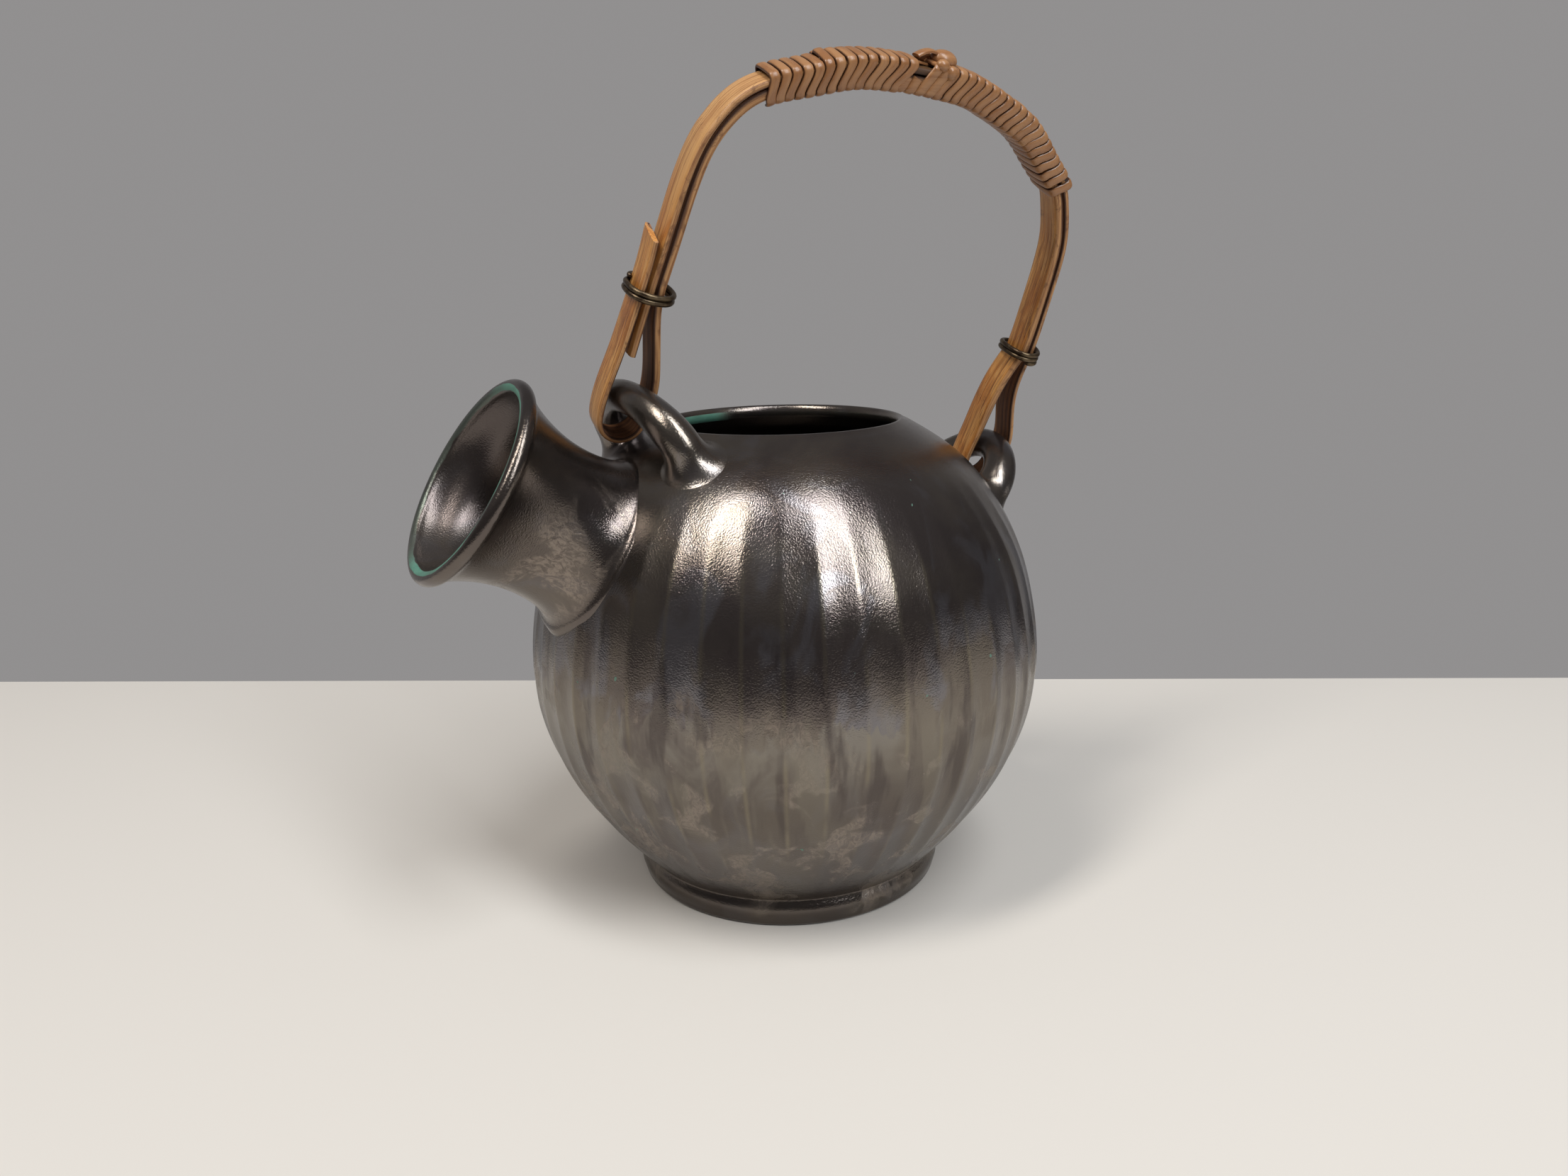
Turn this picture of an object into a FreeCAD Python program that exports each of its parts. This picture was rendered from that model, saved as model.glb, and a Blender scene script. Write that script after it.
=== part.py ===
# Ceramic jug with a trumpet spout, two clay lugs and a bamboo bail bound in rattan.
# Millimetres. +Z up, origin at the centre of the foot ring's resting plane, spout towards -X.
import FreeCAD, Part
import Sketcher
import math
import os
from FreeCAD import Vector, Placement, Rotation

doc = FreeCAD.newDocument("CeramicJug")

# Driving dimensions, one sheet row each
SIZES = [
    # pot
    ("belly_radius", 70.0),
    ("body_height", 120.0),
    ("pot_wall", 4.2),
    ("floor_thickness", 5.5),
    ("mouth_radius", 32.75),
    ("mouth_lip_round", 1.6),
    ("mouth_lip_depth", 4.4),
    ("mouth_land", 0.4),
    ("flute_count", 45),
    ("flute_depth", 0.55),
    # foot
    ("foot_radius", 42.4),
    ("foot_height", 7.7),
    ("foot_ring_width", 8.0),
    ("foot_taper", 0.6),
    ("foot_edge_ease", 1.4),
    # spout
    ("spout_rise_angle", 32.3),
    ("spout_reach", 85.9),
    ("spout_mouth_height", 120.6),
    ("spout_crest_radius", 25.1),
    ("spout_lip_round", 1.9),
    ("spout_throat_radius", 19.8),
    ("spout_wall", 3.4),
    ("spout_length", 36.0),
    ("spout_flange_radius", 24.3),
    ("spout_flange_edge", 1.5),
    ("spout_bore_radius", 16.2),
    ("spout_lip_land", 0.3),
    ("spout_root", 14.0),
    # lugs
    ("lug_bar_radius", 4.15),
    ("lug_foot_bar_radius", 5.3),
    ("lug_root_depth", 5.0),
    ("bar_sides", 12),
    ("front_lug_foot_height", 122.0),
    ("front_lug_rise", 14.8),
    ("front_lug_overhang", 8.0),
    ("front_lug_half_span", 22.0),
    ("rear_lug_foot_height", 101.4),
    ("rear_lug_rise", 13.3),
    ("rear_lug_overhang", 11.3),
    ("rear_lug_half_span", 15.8),
    # bail strip
    ("bail_lean", 22.0),
    ("bail_rise", 92.9),
    ("strip_width", 8.3),
    ("outer_layer", 1.75),
    ("inner_layer", 2.4),
    ("layer_gap", 0.3),
    ("loop_thickness", 1.5),
    ("front_loop_clearance", 0.85),
    ("rear_loop_clearance", 1.45),
    ("rear_loop_shift", 0.35),
    ("front_loop_drop", 9.9),
    ("rear_loop_drop", 10.9),
    ("free_end_height", 43.5),
    ("free_end_slant", 2.6),
    ("hidden_end_height", 12.0),
    # binding wires
    ("wire_diameter", 1.2),
    ("wire_pitch", 1.7),
    ("wire_turns", 2),
    ("wire_height", 27.6),
    ("rear_wire_height", 30.0),
    ("wire_stand_off", 2.1),
    # rattan
    ("rattan_width", 2.1),
    ("rattan_thickness", 0.75),
    ("rattan_pitch", 2.6),
    ("rattan_gap", 0.5),
    ("knot_space", 12.6),
    ("knot_from_rear_wrap", 4.4),
    ("knot_band", 2.2),
    ("knot_band_groove", 0.12),
    ("rattan_corner", 1.1),
    ("rattan_clearance", 0.12),
    ("front_wrap_turns", 13),
    ("rear_wrap_turns", 17),
    ("lay_width", 1.8),
    ("lay_thickness", 0.5),
    ("wrap_start", 11.5),
    ("knot_bead", 2.9),
    # shared
    ("round_sides", 48),
    ("cut_overrun", 6.0),
]

sheet = doc.addObject("Spreadsheet::Sheet", "Sizes")
for row, (alias, number) in enumerate(SIZES, start=1):
    sheet.set("A%d" % row, alias)
    sheet.set("B%d" % row, str(number))
    sheet.setAlias("B%d" % row, alias)
doc.recompute()


def size(alias):
    """A driving dimension, as the sheet holds it."""
    return float(sheet.get(alias))


def feature(name, shape, placement=None):
    """A document object that holds a computed shape."""
    item = doc.addObject("Part::Feature", name)
    item.Label = name
    item.Shape = shape
    if placement is not None:
        item.Placement = placement
    return item


def spline(points):
    """Smooth curve through points."""
    curve = Part.BSplineCurve()
    curve.interpolate(points)
    return curve


def polygon(points):
    """Closed wire through points."""
    return Part.makePolygon(points + [points[0]])


FLAT_WITHIN = 1e-6


def flat_solid(rings):
    """Closed solid through equal rings of points, every side flat; a twisted side is split in two."""
    count = len(rings[0])
    faces = [Part.Face(polygon(rings[0])), Part.Face(polygon(rings[-1]))]
    for low, high in zip(rings, rings[1:]):
        for index in range(count):
            after = (index + 1) % count
            corners = [low[index], low[after], high[after], high[index]]
            normal = (corners[1] - corners[0]).cross(corners[2] - corners[0])
            twist = normal.normalize().dot(corners[3] - corners[0])
            if abs(twist) < FLAT_WITHIN:
                faces.append(Part.Face(polygon(corners)))
            else:
                faces.append(Part.Face(polygon(corners[:3])))
                faces.append(Part.Face(polygon([corners[0], corners[2], corners[3]])))
    shell = Part.makeShell(faces)
    shell.sewShape()
    return Part.makeSolid(shell)


def along(curve, share):
    """Point of a curve at a share of its parameter range."""
    first = curve.FirstParameter
    return curve.value(first + share * (curve.LastParameter - first))


def direction(curve, share):
    """Unit tangent of a curve at a share of its parameter range."""
    first = curve.FirstParameter
    return curve.tangent(first + share * (curve.LastParameter - first))[0]


# Pot: outline of the wall as (share of body height, share of belly radius)
POT_OUTLINE_SHARES = [
    (0.00, 0.604), (0.10, 0.754), (0.20, 0.871), (0.32, 0.962), (0.45, 1.000),
    (0.60, 0.976), (0.72, 0.920), (0.82, 0.830), (0.90, 0.722), (0.955, 0.603),
]
POT_LEVELS = 8
FLUTE_FADE_SHARES = (0.80, 0.93)
FLUTE_STATION_SHARES = (0.0, 0.33, 0.67)
LIP_ANGLES = (0, 45, 90)


def pot_curve():
    """Outer wall line in the XZ half plane, from the foot ring up to the rim."""
    points = []
    for height_share, radius_share in POT_OUTLINE_SHARES:
        points.append(Vector(size("belly_radius") * radius_share, 0,
                             size("foot_height") + size("body_height") * height_share))
    rim = size("mouth_radius") + size("mouth_land")
    points.append(Vector(rim, 0, size("foot_height") + size("body_height")))
    return spline(points)


def flute_fade(height_share):
    """1 on the belly, falling to 0 where the flutes run out below the rim."""
    low, high = FLUTE_FADE_SHARES
    run = min(max((height_share - low) / (high - low), 0), 1)
    return 1 - run * run * (3 - 2 * run)


def ring(radius, height, sides):
    """Corners of an equal-sided ring round Z."""
    return [Vector(radius * math.cos(2 * math.pi * side / sides),
                   radius * math.sin(2 * math.pi * side / sides), height) for side in range(sides)]


def fluted_ring(radius, height, depth_share):
    """Corners of a ring of hollow flutes between ridges that lie on a circle."""
    count = int(size("flute_count"))
    points = []
    for index in range(count):
        for share in FLUTE_STATION_SHARES:
            angle = 2 * math.pi * (index + share) / count
            hollow = radius * (1 - depth_share * math.sin(math.pi * share))
            points.append(Vector(hollow * math.cos(angle), hollow * math.sin(angle), height))
    return points


def pot_outside():
    """Solid of the pot's fluted outside."""
    curve = pot_curve()
    rings = []
    for level in range(POT_LEVELS + 1):
        point = along(curve, level / POT_LEVELS)
        share = (point.z - size("foot_height")) / size("body_height")
        depth_share = size("flute_depth") / size("belly_radius") * flute_fade(share)
        rings.append(fluted_ring(point.x, point.z, depth_share))
    return flat_solid(rings)


def pot_cavity():
    """Solid of the space inside the pot, with the lip's rounded mouth."""
    curve = pot_curve()
    sides = int(size("round_sides"))
    rim = size("foot_height") + size("body_height")
    floor = size("foot_height") + size("floor_thickness")
    lip = size("mouth_lip_round")
    mouth = size("mouth_radius") - lip
    under_lip = rim - size("mouth_lip_depth")
    wall = size("pot_wall") + size("flute_depth")
    inside = []
    for level in range(1, POT_LEVELS):
        share = level / POT_LEVELS
        point = along(curve, share)
        tangent = direction(curve, share)
        inner = point + Vector(-tangent.z, 0, tangent.x) * wall
        if inner.z > floor and inner.z < under_lip - lip and inner.x > mouth:
            inside.append(inner)
    rings = [ring(inside[0].x - size("floor_thickness"), floor, sides)]
    rings += [ring(inner.x, inner.z, sides) for inner in inside]
    rings.append(ring(mouth, under_lip, sides))
    for angle in LIP_ANGLES:
        turn = math.radians(angle)
        rings.append(ring(mouth + lip * (1 - math.cos(turn)), rim - lip + lip * math.sin(turn), sides))
    rings.append(ring(size("mouth_radius"), rim + size("cut_overrun"), sides))
    return flat_solid(rings)


# Spout: local Z runs out along the spout, origin at the centre of the lip's crest
def spout_placement():
    """Where the spout stands on the jug."""
    tilt = Rotation(Vector(0, 1, 0), size("spout_rise_angle") - 90)
    return Placement(Vector(-size("spout_reach"), 0, size("spout_mouth_height")), tilt)


# Outside of the trumpet as (share of spout length behind the crest, share of throat radius)
TRUMPET_SHARES = [
    (0.12, 1.262), (0.23, 1.155), (0.38, 1.060), (0.55, 1.002), (0.75, 1.004), (0.90, 1.062),
]
BELL_SHARES = [(0.12, 1.262), (0.23, 1.155), (0.40, 1.050)]


def spout_outside():
    """Solid of the spout's outside, its root running on into the pot."""
    length = size("spout_length")
    throat = size("spout_throat_radius")
    lip = size("spout_lip_round")
    crest = size("spout_crest_radius")
    edge = size("spout_flange_edge")
    flange = size("spout_flange_radius")
    sides = int(size("round_sides"))
    rings = []
    for angle in reversed(LIP_ANGLES):
        turn = math.radians(angle)
        rings.append(ring(crest + lip * math.cos(turn), lip * math.sin(turn) - lip, sides))
    for length_share, radius_share in TRUMPET_SHARES:
        rings.append(ring(throat * radius_share, -length * length_share, sides))
    for angle in reversed(LIP_ANGLES):
        turn = math.radians(angle)
        rings.append(ring(flange - edge + edge * math.cos(turn), edge * math.sin(turn) - length, sides))
    rings.append(ring(flange, -length - size("spout_root"), sides))
    return flat_solid(rings)


def spout_inside():
    """Solid of the way through the spout, wider than its mouth in front."""
    length = size("spout_length")
    throat = size("spout_throat_radius")
    lip = size("spout_lip_round")
    crest = size("spout_crest_radius")
    wall = size("spout_wall")
    bore = size("spout_bore_radius")
    sides = int(size("round_sides"))
    rings = [ring(crest - size("spout_lip_land"), size("cut_overrun"), sides)]
    for angle in reversed(LIP_ANGLES):
        turn = math.radians(angle)
        rings.append(ring(crest - size("spout_lip_land") - lip * math.cos(turn),
                          lip * math.sin(turn) - lip, sides))
    for length_share, radius_share in BELL_SHARES:
        rings.append(ring(throat * radius_share - wall, -length * length_share, sides))
    rings.append(ring(bore, -length * TRUMPET_SHARES[3][0], sides))
    rings.append(ring(bore, -length - size("spout_root") - size("cut_overrun"), sides))
    return flat_solid(rings)


# Lugs: an arch of clay bar, half an ellipse wide across Y and leaning outwards
LUG_STATIONS = 12
LUG_FOOT_FLARE = 2.2


def pot_radius(height):
    """Radius of the pot's outside at a height."""
    curve = pot_curve()
    low, high = 0, 1
    for _ in range(40):
        middle = (low + high) / 2
        if along(curve, middle).z < height:
            low = middle
        else:
            high = middle
    return along(curve, low).x


def lug_foot(side, prefix):
    """Point midway between a lug's two feet."""
    height = size(prefix + "foot_height")
    radius = pot_radius(height)
    half_span = size(prefix + "half_span")
    return Vector(side * math.sqrt(radius * radius - half_span * half_span), 0, height)


def lug_crown(side, prefix):
    """Middle of a lug's bar at its top."""
    return lug_foot(side, prefix) + Vector(side * size(prefix + "overhang"), 0, size(prefix + "rise"))


def lug_form(side, prefix):
    """Solid of one lug, its legs running on into the pot's wall."""
    foot = lug_foot(side, prefix)
    crown = lug_crown(side, prefix)
    half_span = size(prefix + "half_span")
    rise = crown - foot
    stations = []
    for index in range(LUG_STATIONS + 1):
        angle = math.pi * (index / LUG_STATIONS - 0.5)
        middle = foot + rise * math.cos(angle) + Vector(0, half_span * math.sin(angle), 0)
        heading = rise * -math.sin(angle) + Vector(0, half_span * math.cos(angle), 0)
        swell = (1 - math.cos(angle)) ** LUG_FOOT_FLARE
        grow = size("lug_foot_bar_radius") - size("lug_bar_radius")
        stations.append((middle, heading, size("lug_bar_radius") + grow * swell))
    down = Vector(rise).normalize() * -size("lug_root_depth")
    first, last = stations[0], stations[-1]
    stations.insert(0, (first[0] + down, first[1], first[2]))
    stations.append((last[0] + down, last[1], last[2]))
    side = rise.cross(Vector(0, 1, 0)).normalize()
    sides = int(size("bar_sides"))
    rings = [bar_ring(middle, heading, side, radius, sides) for middle, heading, radius in stations]
    return Part.makeLoft(rings, True, True)


def bar_ring(middle, heading, side, radius, sides):
    """Closed wire of equal sides round a bar, square to its heading; side is square to the arch's plane."""
    forth = Vector(heading).normalize()
    other = forth.cross(side)
    return polygon([middle + side * (radius * math.cos(2 * math.pi * index / sides))
                    + other * (radius * math.sin(2 * math.pi * index / sides)) for index in range(sides)])


pot_outer = feature("pot_outer", pot_outside())
cavity = feature("pot_hollow", pot_cavity())

spout_bore = doc.addObject("Part::Cylinder", "spout_bore")
spout_bore.setExpression("Radius", "Sizes.spout_bore_radius")
spout_bore.setExpression("Height", "Sizes.spout_reach")
spout_bore.Placement = spout_placement().multiply(
    Placement(Vector(0, 0, -size("spout_reach")), Rotation()))

pot_shell = doc.addObject("Part::Cut", "pot_shell")
pot_shell.Base = pot_outer
pot_shell.Tool = cavity

pot_body = doc.addObject("Part::Cut", "pot_body")
pot_body.Base = pot_shell
pot_body.Tool = spout_bore
pot_body.Label = "pot_body"


# Foot ring: turned ring, revolved from a sketch
def foot_ring_body():
    """Ring foot under the pot."""
    body = doc.addObject("PartDesign::Body", "foot_ring")
    sketch = body.newObject("Sketcher::SketchObject", "foot_section")
    plane = [f for f in body.Origin.OriginFeatures if f.Role == "XZ_Plane"][0]
    sketch.AttachmentSupport = [(plane, "")]
    sketch.MapMode = "FlatFace"
    inner = size("foot_radius") - size("foot_ring_width")
    outer = size("foot_radius")
    top = size("foot_height")
    corners = [Vector(inner, 0, 0), Vector(outer, 0, 0), Vector(outer - size("foot_taper"), top, 0),
               Vector(inner, top, 0)]
    for start, end in zip(corners, corners[1:] + corners[:1]):
        sketch.addGeometry(Part.LineSegment(start, end), False)
    for index in range(4):
        sketch.addConstraint(Sketcher.Constraint("Coincident", index, 2, (index + 1) % 4, 1))
    sketch.addConstraint(Sketcher.Constraint("Horizontal", 0))
    sketch.addConstraint(Sketcher.Constraint("Horizontal", 2))
    sketch.addConstraint(Sketcher.Constraint("Vertical", 3))
    sketch.addConstraint(Sketcher.Constraint("PointOnObject", 0, 1, -1))
    named = [
        ("ring_inner", ("DistanceX", -1, 1, 0, 1, inner), "Sizes.foot_radius - Sizes.foot_ring_width"),
        ("ring_outer", ("DistanceX", -1, 1, 0, 2, outer), "Sizes.foot_radius"),
        ("ring_top", ("DistanceX", -1, 1, 1, 2, outer - size("foot_taper")),
         "Sizes.foot_radius - Sizes.foot_taper"),
        ("ring_height", ("DistanceY", -1, 1, 1, 2, top), "Sizes.foot_height"),
    ]
    for label, arguments, expression in named:
        number = sketch.addConstraint(Sketcher.Constraint(*arguments))
        sketch.renameConstraint(number, label)
        sketch.setExpression("Constraints." + label, expression)
    turned = body.newObject("PartDesign::Revolution", "foot_turned")
    turned.Profile = sketch
    turned.ReferenceAxis = (sketch, ["V_Axis"])
    turned.Angle = 360
    doc.recompute()
    eased = body.newObject("PartDesign::Chamfer", "foot_eased")
    eased.Base = (turned, foot_edges(turned.Shape))
    eased.setExpression("Size", "Sizes.foot_edge_ease")
    body.Tip = eased
    return body


def foot_edges(shape):
    """The outer and inner circles on the resting plane."""
    names = []
    for index, edge in enumerate(shape.Edges, start=1):
        flat = edge.BoundBox.ZMax < size("foot_edge_ease") / 2
        if flat and edge.Closed:
            names.append("Edge%d" % index)
    return names


foot_ring = foot_ring_body()

spout_solid = feature("spout_form", spout_outside(), spout_placement())
spout_way = feature("spout_way", spout_inside(), spout_placement())
spout_tube = doc.addObject("Part::Cut", "spout_tube")
spout_tube.Base = spout_solid
spout_tube.Tool = spout_way
spout = doc.addObject("Part::Cut", "spout")
spout.Base = spout_tube
spout.Tool = pot_outer
spout.Label = "spout"

lugs = []
for lug_name, lug_side, prefix in (("front_lug", -1, "front_lug_"), ("rear_lug", 1, "rear_lug_")):
    form = feature(lug_name + "_form", lug_form(lug_side, prefix))
    lug = doc.addObject("Part::Cut", lug_name)
    lug.Base = form
    lug.Tool = pot_outer
    lug.Label = lug_name
    lugs.append(lug)


# Bail: local X runs from the front lug's bar to the rear lug's bar, Z up in the bail's plane,
# Y across the strip. The origin is the middle of the front lug's bar.
FRONT_BAR = lug_crown(-1, "front_lug_")
REAR_BAR = lug_crown(1, "rear_lug_")
BAR_LINE = REAR_BAR - FRONT_BAR
SPAN = BAR_LINE.Length


def bail_placement():
    """The bail's plane: through both bars, leaning over by the bail's lean."""
    slope = math.degrees(math.atan2(-BAR_LINE.z, BAR_LINE.x))
    turn = Rotation(Vector(0, 1, 0), slope).multiply(Rotation(Vector(1, 0, 0), size("bail_lean")))
    return Placement(FRONT_BAR, turn)


# Skin line of the bail's outer layer as (share of span, share of bail rise)
ARCH_SHARES = [
    (-0.0224, 0.323), (-0.0181, 0.470), (-0.0164, 0.549), (-0.0121, 0.622), (-0.0009, 0.698),
    (0.0224, 0.767), (0.0534, 0.822), (0.0921, 0.861), (0.1730, 0.909), (0.2616, 0.959),
    (0.3614, 0.986), (0.4475, 0.997), (0.5447, 1.000), (0.6462, 0.976), (0.7383, 0.938),
    (0.8226, 0.871), (0.8846, 0.817), (0.9130, 0.767), (0.9500, 0.678), (0.9681, 0.591),
    (0.9810, 0.493), (0.9965, 0.348), (0.9980, 0.325),
]
ARCH_STATIONS = 28


def arch_curve():
    """Skin line of the outer layer, from the front wire over the top to the rear wire."""
    return spline([Vector(SPAN * across, 0, size("bail_rise") * up) for across, up in ARCH_SHARES])


ARCH = arch_curve()
ARCH_LENGTH = ARCH.length()


def arch_frame(distance):
    """Point on the skin line at a length from its front end, its heading, and the way in."""
    parameter = ARCH.parameterAtDistance(distance, ARCH.FirstParameter)
    heading = ARCH.tangent(parameter)[0]
    return ARCH.value(parameter), heading, Vector(heading.z, 0, -heading.x)


def arch_distance(across):
    """Length along the skin line at which it has come a given way across the span."""
    low, high = 0, ARCH_LENGTH
    for _ in range(40):
        middle = (low + high) / 2
        if arch_frame(middle)[0].x < across:
            low = middle
        else:
            high = middle
    return low


# Loops: pith line as (share of the eye's half width, share of the wire's height)
FRONT_COMING_SHARES = [(0.00, 0.87), (0.35, 0.62), (0.65, 0.43), (0.95, 0.22)]
FRONT_LEAVING_SHARES = [(-0.95, 0.22), (-0.84, 0.43), (-0.74, 0.72), (-0.67, 1.00), (-0.64, 1.27)]
FREE_TIP_SHARE = -0.69
REAR_COMING_SHARES = [(-0.20, 0.70), (0.48, 0.33), (0.93, 0.12)]
REAR_LEAVING_SHARES = [(-0.97, 0.12), (-0.93, 0.43), (-0.80, 0.76)]
LOOP_STATIONS = 26
BEND_SHARES = (0.28, 0.42, 0.62, 0.78)
BEND_STEPS = 6


def loop_line(bar, half, fall, start, coming, leaving, end):
    """Pith line down to a lug's bar, round under it and up again."""
    height = size("wire_height")
    drop = fall - half
    points = [start]
    points += [Vector(bar + half * across, 0, height * up) for across, up in coming]
    for step in range(BEND_STEPS + 1):
        angle = math.pi * step / BEND_STEPS
        points.append(Vector(bar + half * math.cos(angle), 0, -drop - half * math.sin(angle)))
    points += [Vector(bar + half * across, 0, height * up) for across, up in leaving]
    points.append(end)
    return spline(points)


def loop_stations(curve, coming, bend, leaving):
    """Stations (pith point, way to the skin, thickness) along a loop's pith line."""
    stations = []
    length = curve.length()
    first, second, third, fourth = BEND_SHARES
    for index in range(1, LOOP_STATIONS):
        share = index / LOOP_STATIONS
        parameter = curve.parameterAtDistance(length * share, curve.FirstParameter)
        heading = curve.tangent(parameter)[0]
        if share < second:
            part = min(max((share - first) / (second - first), 0), 1)
            thickness = coming + (bend - coming) * part
        else:
            part = min(max((share - third) / (fourth - third), 0), 1)
            thickness = bend + (leaving - bend) * part
        stations.append((curve.value(parameter), Vector(-heading.z, 0, heading.x), thickness))
    return stations


def strip_stations():
    """The whole bamboo strip, from its hidden end to its free end."""
    outer = size("outer_layer")
    inner = size("inner_layer")
    bend = size("loop_thickness")
    gap = size("layer_gap")
    stations = []
    skin, _, _ = arch_frame(0)
    low = Vector(skin.x - gap, 0, size("hidden_end_height"))
    middle = (low + skin) * 0.5
    for point in (low, middle):
        stations.append((point + Vector(outer, 0, 0), Vector(-1, 0, 0), outer))
    for index in range(ARCH_STATIONS + 1):
        point, _, inward = arch_frame(ARCH_LENGTH * index / ARCH_STATIONS)
        stations.append((point + inward * outer, inward * -1, outer))
    end, _, end_inward = arch_frame(ARCH_LENGTH)
    half = size("lug_bar_radius") + size("rear_loop_clearance")
    rear = loop_line(SPAN - size("rear_loop_shift"), half, size("rear_loop_drop"), end + end_inward * outer,
                     REAR_COMING_SHARES, REAR_LEAVING_SHARES, end + end_inward * (outer + gap))
    stations += loop_stations(rear, outer, bend, inner)
    for index in range(ARCH_STATIONS, -1, -1):
        point, _, inward = arch_frame(ARCH_LENGTH * index / ARCH_STATIONS)
        stations.append((point + inward * (outer + gap), inward, inner))
    begin, _, begin_inward = arch_frame(0)
    half = size("lug_bar_radius") + size("front_loop_clearance")
    tip = Vector(half * FREE_TIP_SHARE, 0, size("free_end_height"))
    front = loop_line(0, half, size("front_loop_drop"), begin + begin_inward * (outer + gap),
                      FRONT_COMING_SHARES, FRONT_LEAVING_SHARES, tip)
    stations += loop_stations(front, inner, bend, bend)
    stations.append((tip, Vector(-1, 0, 0), bend))
    return stations


# Section of the strip as (share of half width, share of thickness); pith below, skin above
STRIP_SECTION_SHARES = [
    (-0.93, 0.00), (0.93, 0.00), (1.00, 0.14), (1.00, 0.62), (0.93, 0.84), (0.76, 0.96),
    (0.00, 1.00), (-0.76, 0.96), (-0.93, 0.84), (-1.00, 0.62), (-1.00, 0.14),
]


def strip_solid():
    """Ruled ribbon through the strip's sections, its free end cut aslant."""
    half = size("strip_width") / 2
    stations = strip_stations()
    wires = []
    for number, (pith, way, thickness) in enumerate(stations):
        slant = size("free_end_slant") / 2 if number == len(stations) - 1 else 0
        wires.append(polygon([
            pith + way * (thickness * up) + Vector(0, half * across, slant * across)
            for across, up in STRIP_SECTION_SHARES]))
    return Part.makeLoft(wires, True, True)


def biarc(start, start_way, end, end_way):
    """Two arcs that leave one point along one way and reach another along another."""
    chord = end - start
    both = start_way + end_way
    open_share = 2 * (1 - start_way.dot(end_way))
    reach = chord.dot(both)
    length = (math.sqrt(reach * reach + open_share * chord.dot(chord)) - reach) / open_share
    knee_in = start + start_way * length
    knee_out = end - end_way * length
    joint = (knee_in + knee_out) * 0.5
    arcs = []
    for first, knee, last in ((start, knee_in, joint), (joint, knee_out, end)):
        middle = (first + last) * 0.5
        weight = (first - middle).Length / (first - knee).Length
        arcs.append(Part.Arc(first, (middle + knee * weight) * (1 / (1 + weight)), last).toShape())
    return arcs


WIRE_STATIONS = 2
WIRE_SIDES = 8


def binding_wire(label, height, depth_low, depth_high, distance):
    """Round wire wound about the strip, its turns side by side along the strip."""
    point, heading, inward = arch_frame(distance)
    turns = int(size("wire_turns"))
    thick = size("wire_diameter")
    point = point + heading * ((height - point.z) / heading.z)
    centre = point + inward * ((depth_low + depth_high) / 2)
    half_deep = (depth_high - depth_low) / 2 + size("wire_stand_off")
    half_wide = size("strip_width") / 2 + size("wire_stand_off")
    pitch = size("wire_pitch")
    points = []
    for quarter in range(4 * turns + 2):
        angle = math.pi * (quarter / 2 - 0.5)
        lift = pitch * (quarter / 4 - turns / 2)
        place = centre + inward * (half_deep * math.cos(angle)) + Vector(0, half_wide * math.sin(angle), 0)
        way = inward * (-half_deep * math.sin(angle)) + Vector(0, half_wide * math.cos(angle), 0)
        way = way + heading * (pitch / (2 * math.pi))
        points.append((place + heading * lift, way.normalize()))
    edges = []
    for (start, start_way), (end, end_way) in zip(points, points[1:]):
        edges += biarc(start, start_way, end, end_way)
    line = []
    for edge in edges:
        line += edge.discretize(WIRE_STATIONS + 1)[:-1]
    report_gap(label, line, len(line) * 4 // len(points), thick)
    rings = []
    for number, place in enumerate(line[1:-1], start=1):
        way = (line[number + 1] - line[number - 1]).normalize()
        rings.append(bar_ring(place, way, heading, thick / 2, WIRE_SIDES))
    return Part.makeLoft(rings, True, True)


def report_gap(label, line, turn, thick):
    """Print the least gap between a winding's turns, measured on points."""
    least = None
    for first in range(len(line)):
        for second in range(first + turn * 2 // 3, len(line)):
            away = (line[first] - line[second]).Length - thick
            if least is None or away < least:
                least = away
    print(label, "least gap to itself", round(least, 3))


# Stations of one turn of rattan: (side across, side deep, turn of the corner, share of the pitch,
# share of the pitch whose frame the station takes, the same for both ends of a straight pass)
TURN_SHARES = [
    (-1, 1, 0, 0.00, -0.075), (-1, 1, 1, 0.00, 0.25), (-1, -1, 0, 0.50, 0.25), (-1, -1, 1, 0.50, 0.55),
    (1, -1, 0, 0.60, 0.55), (1, -1, 1, 0.60, 0.725), (1, 1, 0, 0.85, 0.725), (1, 1, 1, 0.85, 0.925),
]
CORNER_ORDER = [(-1, 1), (-1, -1), (1, -1), (1, 1)]
RATTAN_SECTION_SHARES = [(-1, -1), (1, -1), (0.86, 1), (-0.86, 1)]


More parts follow.
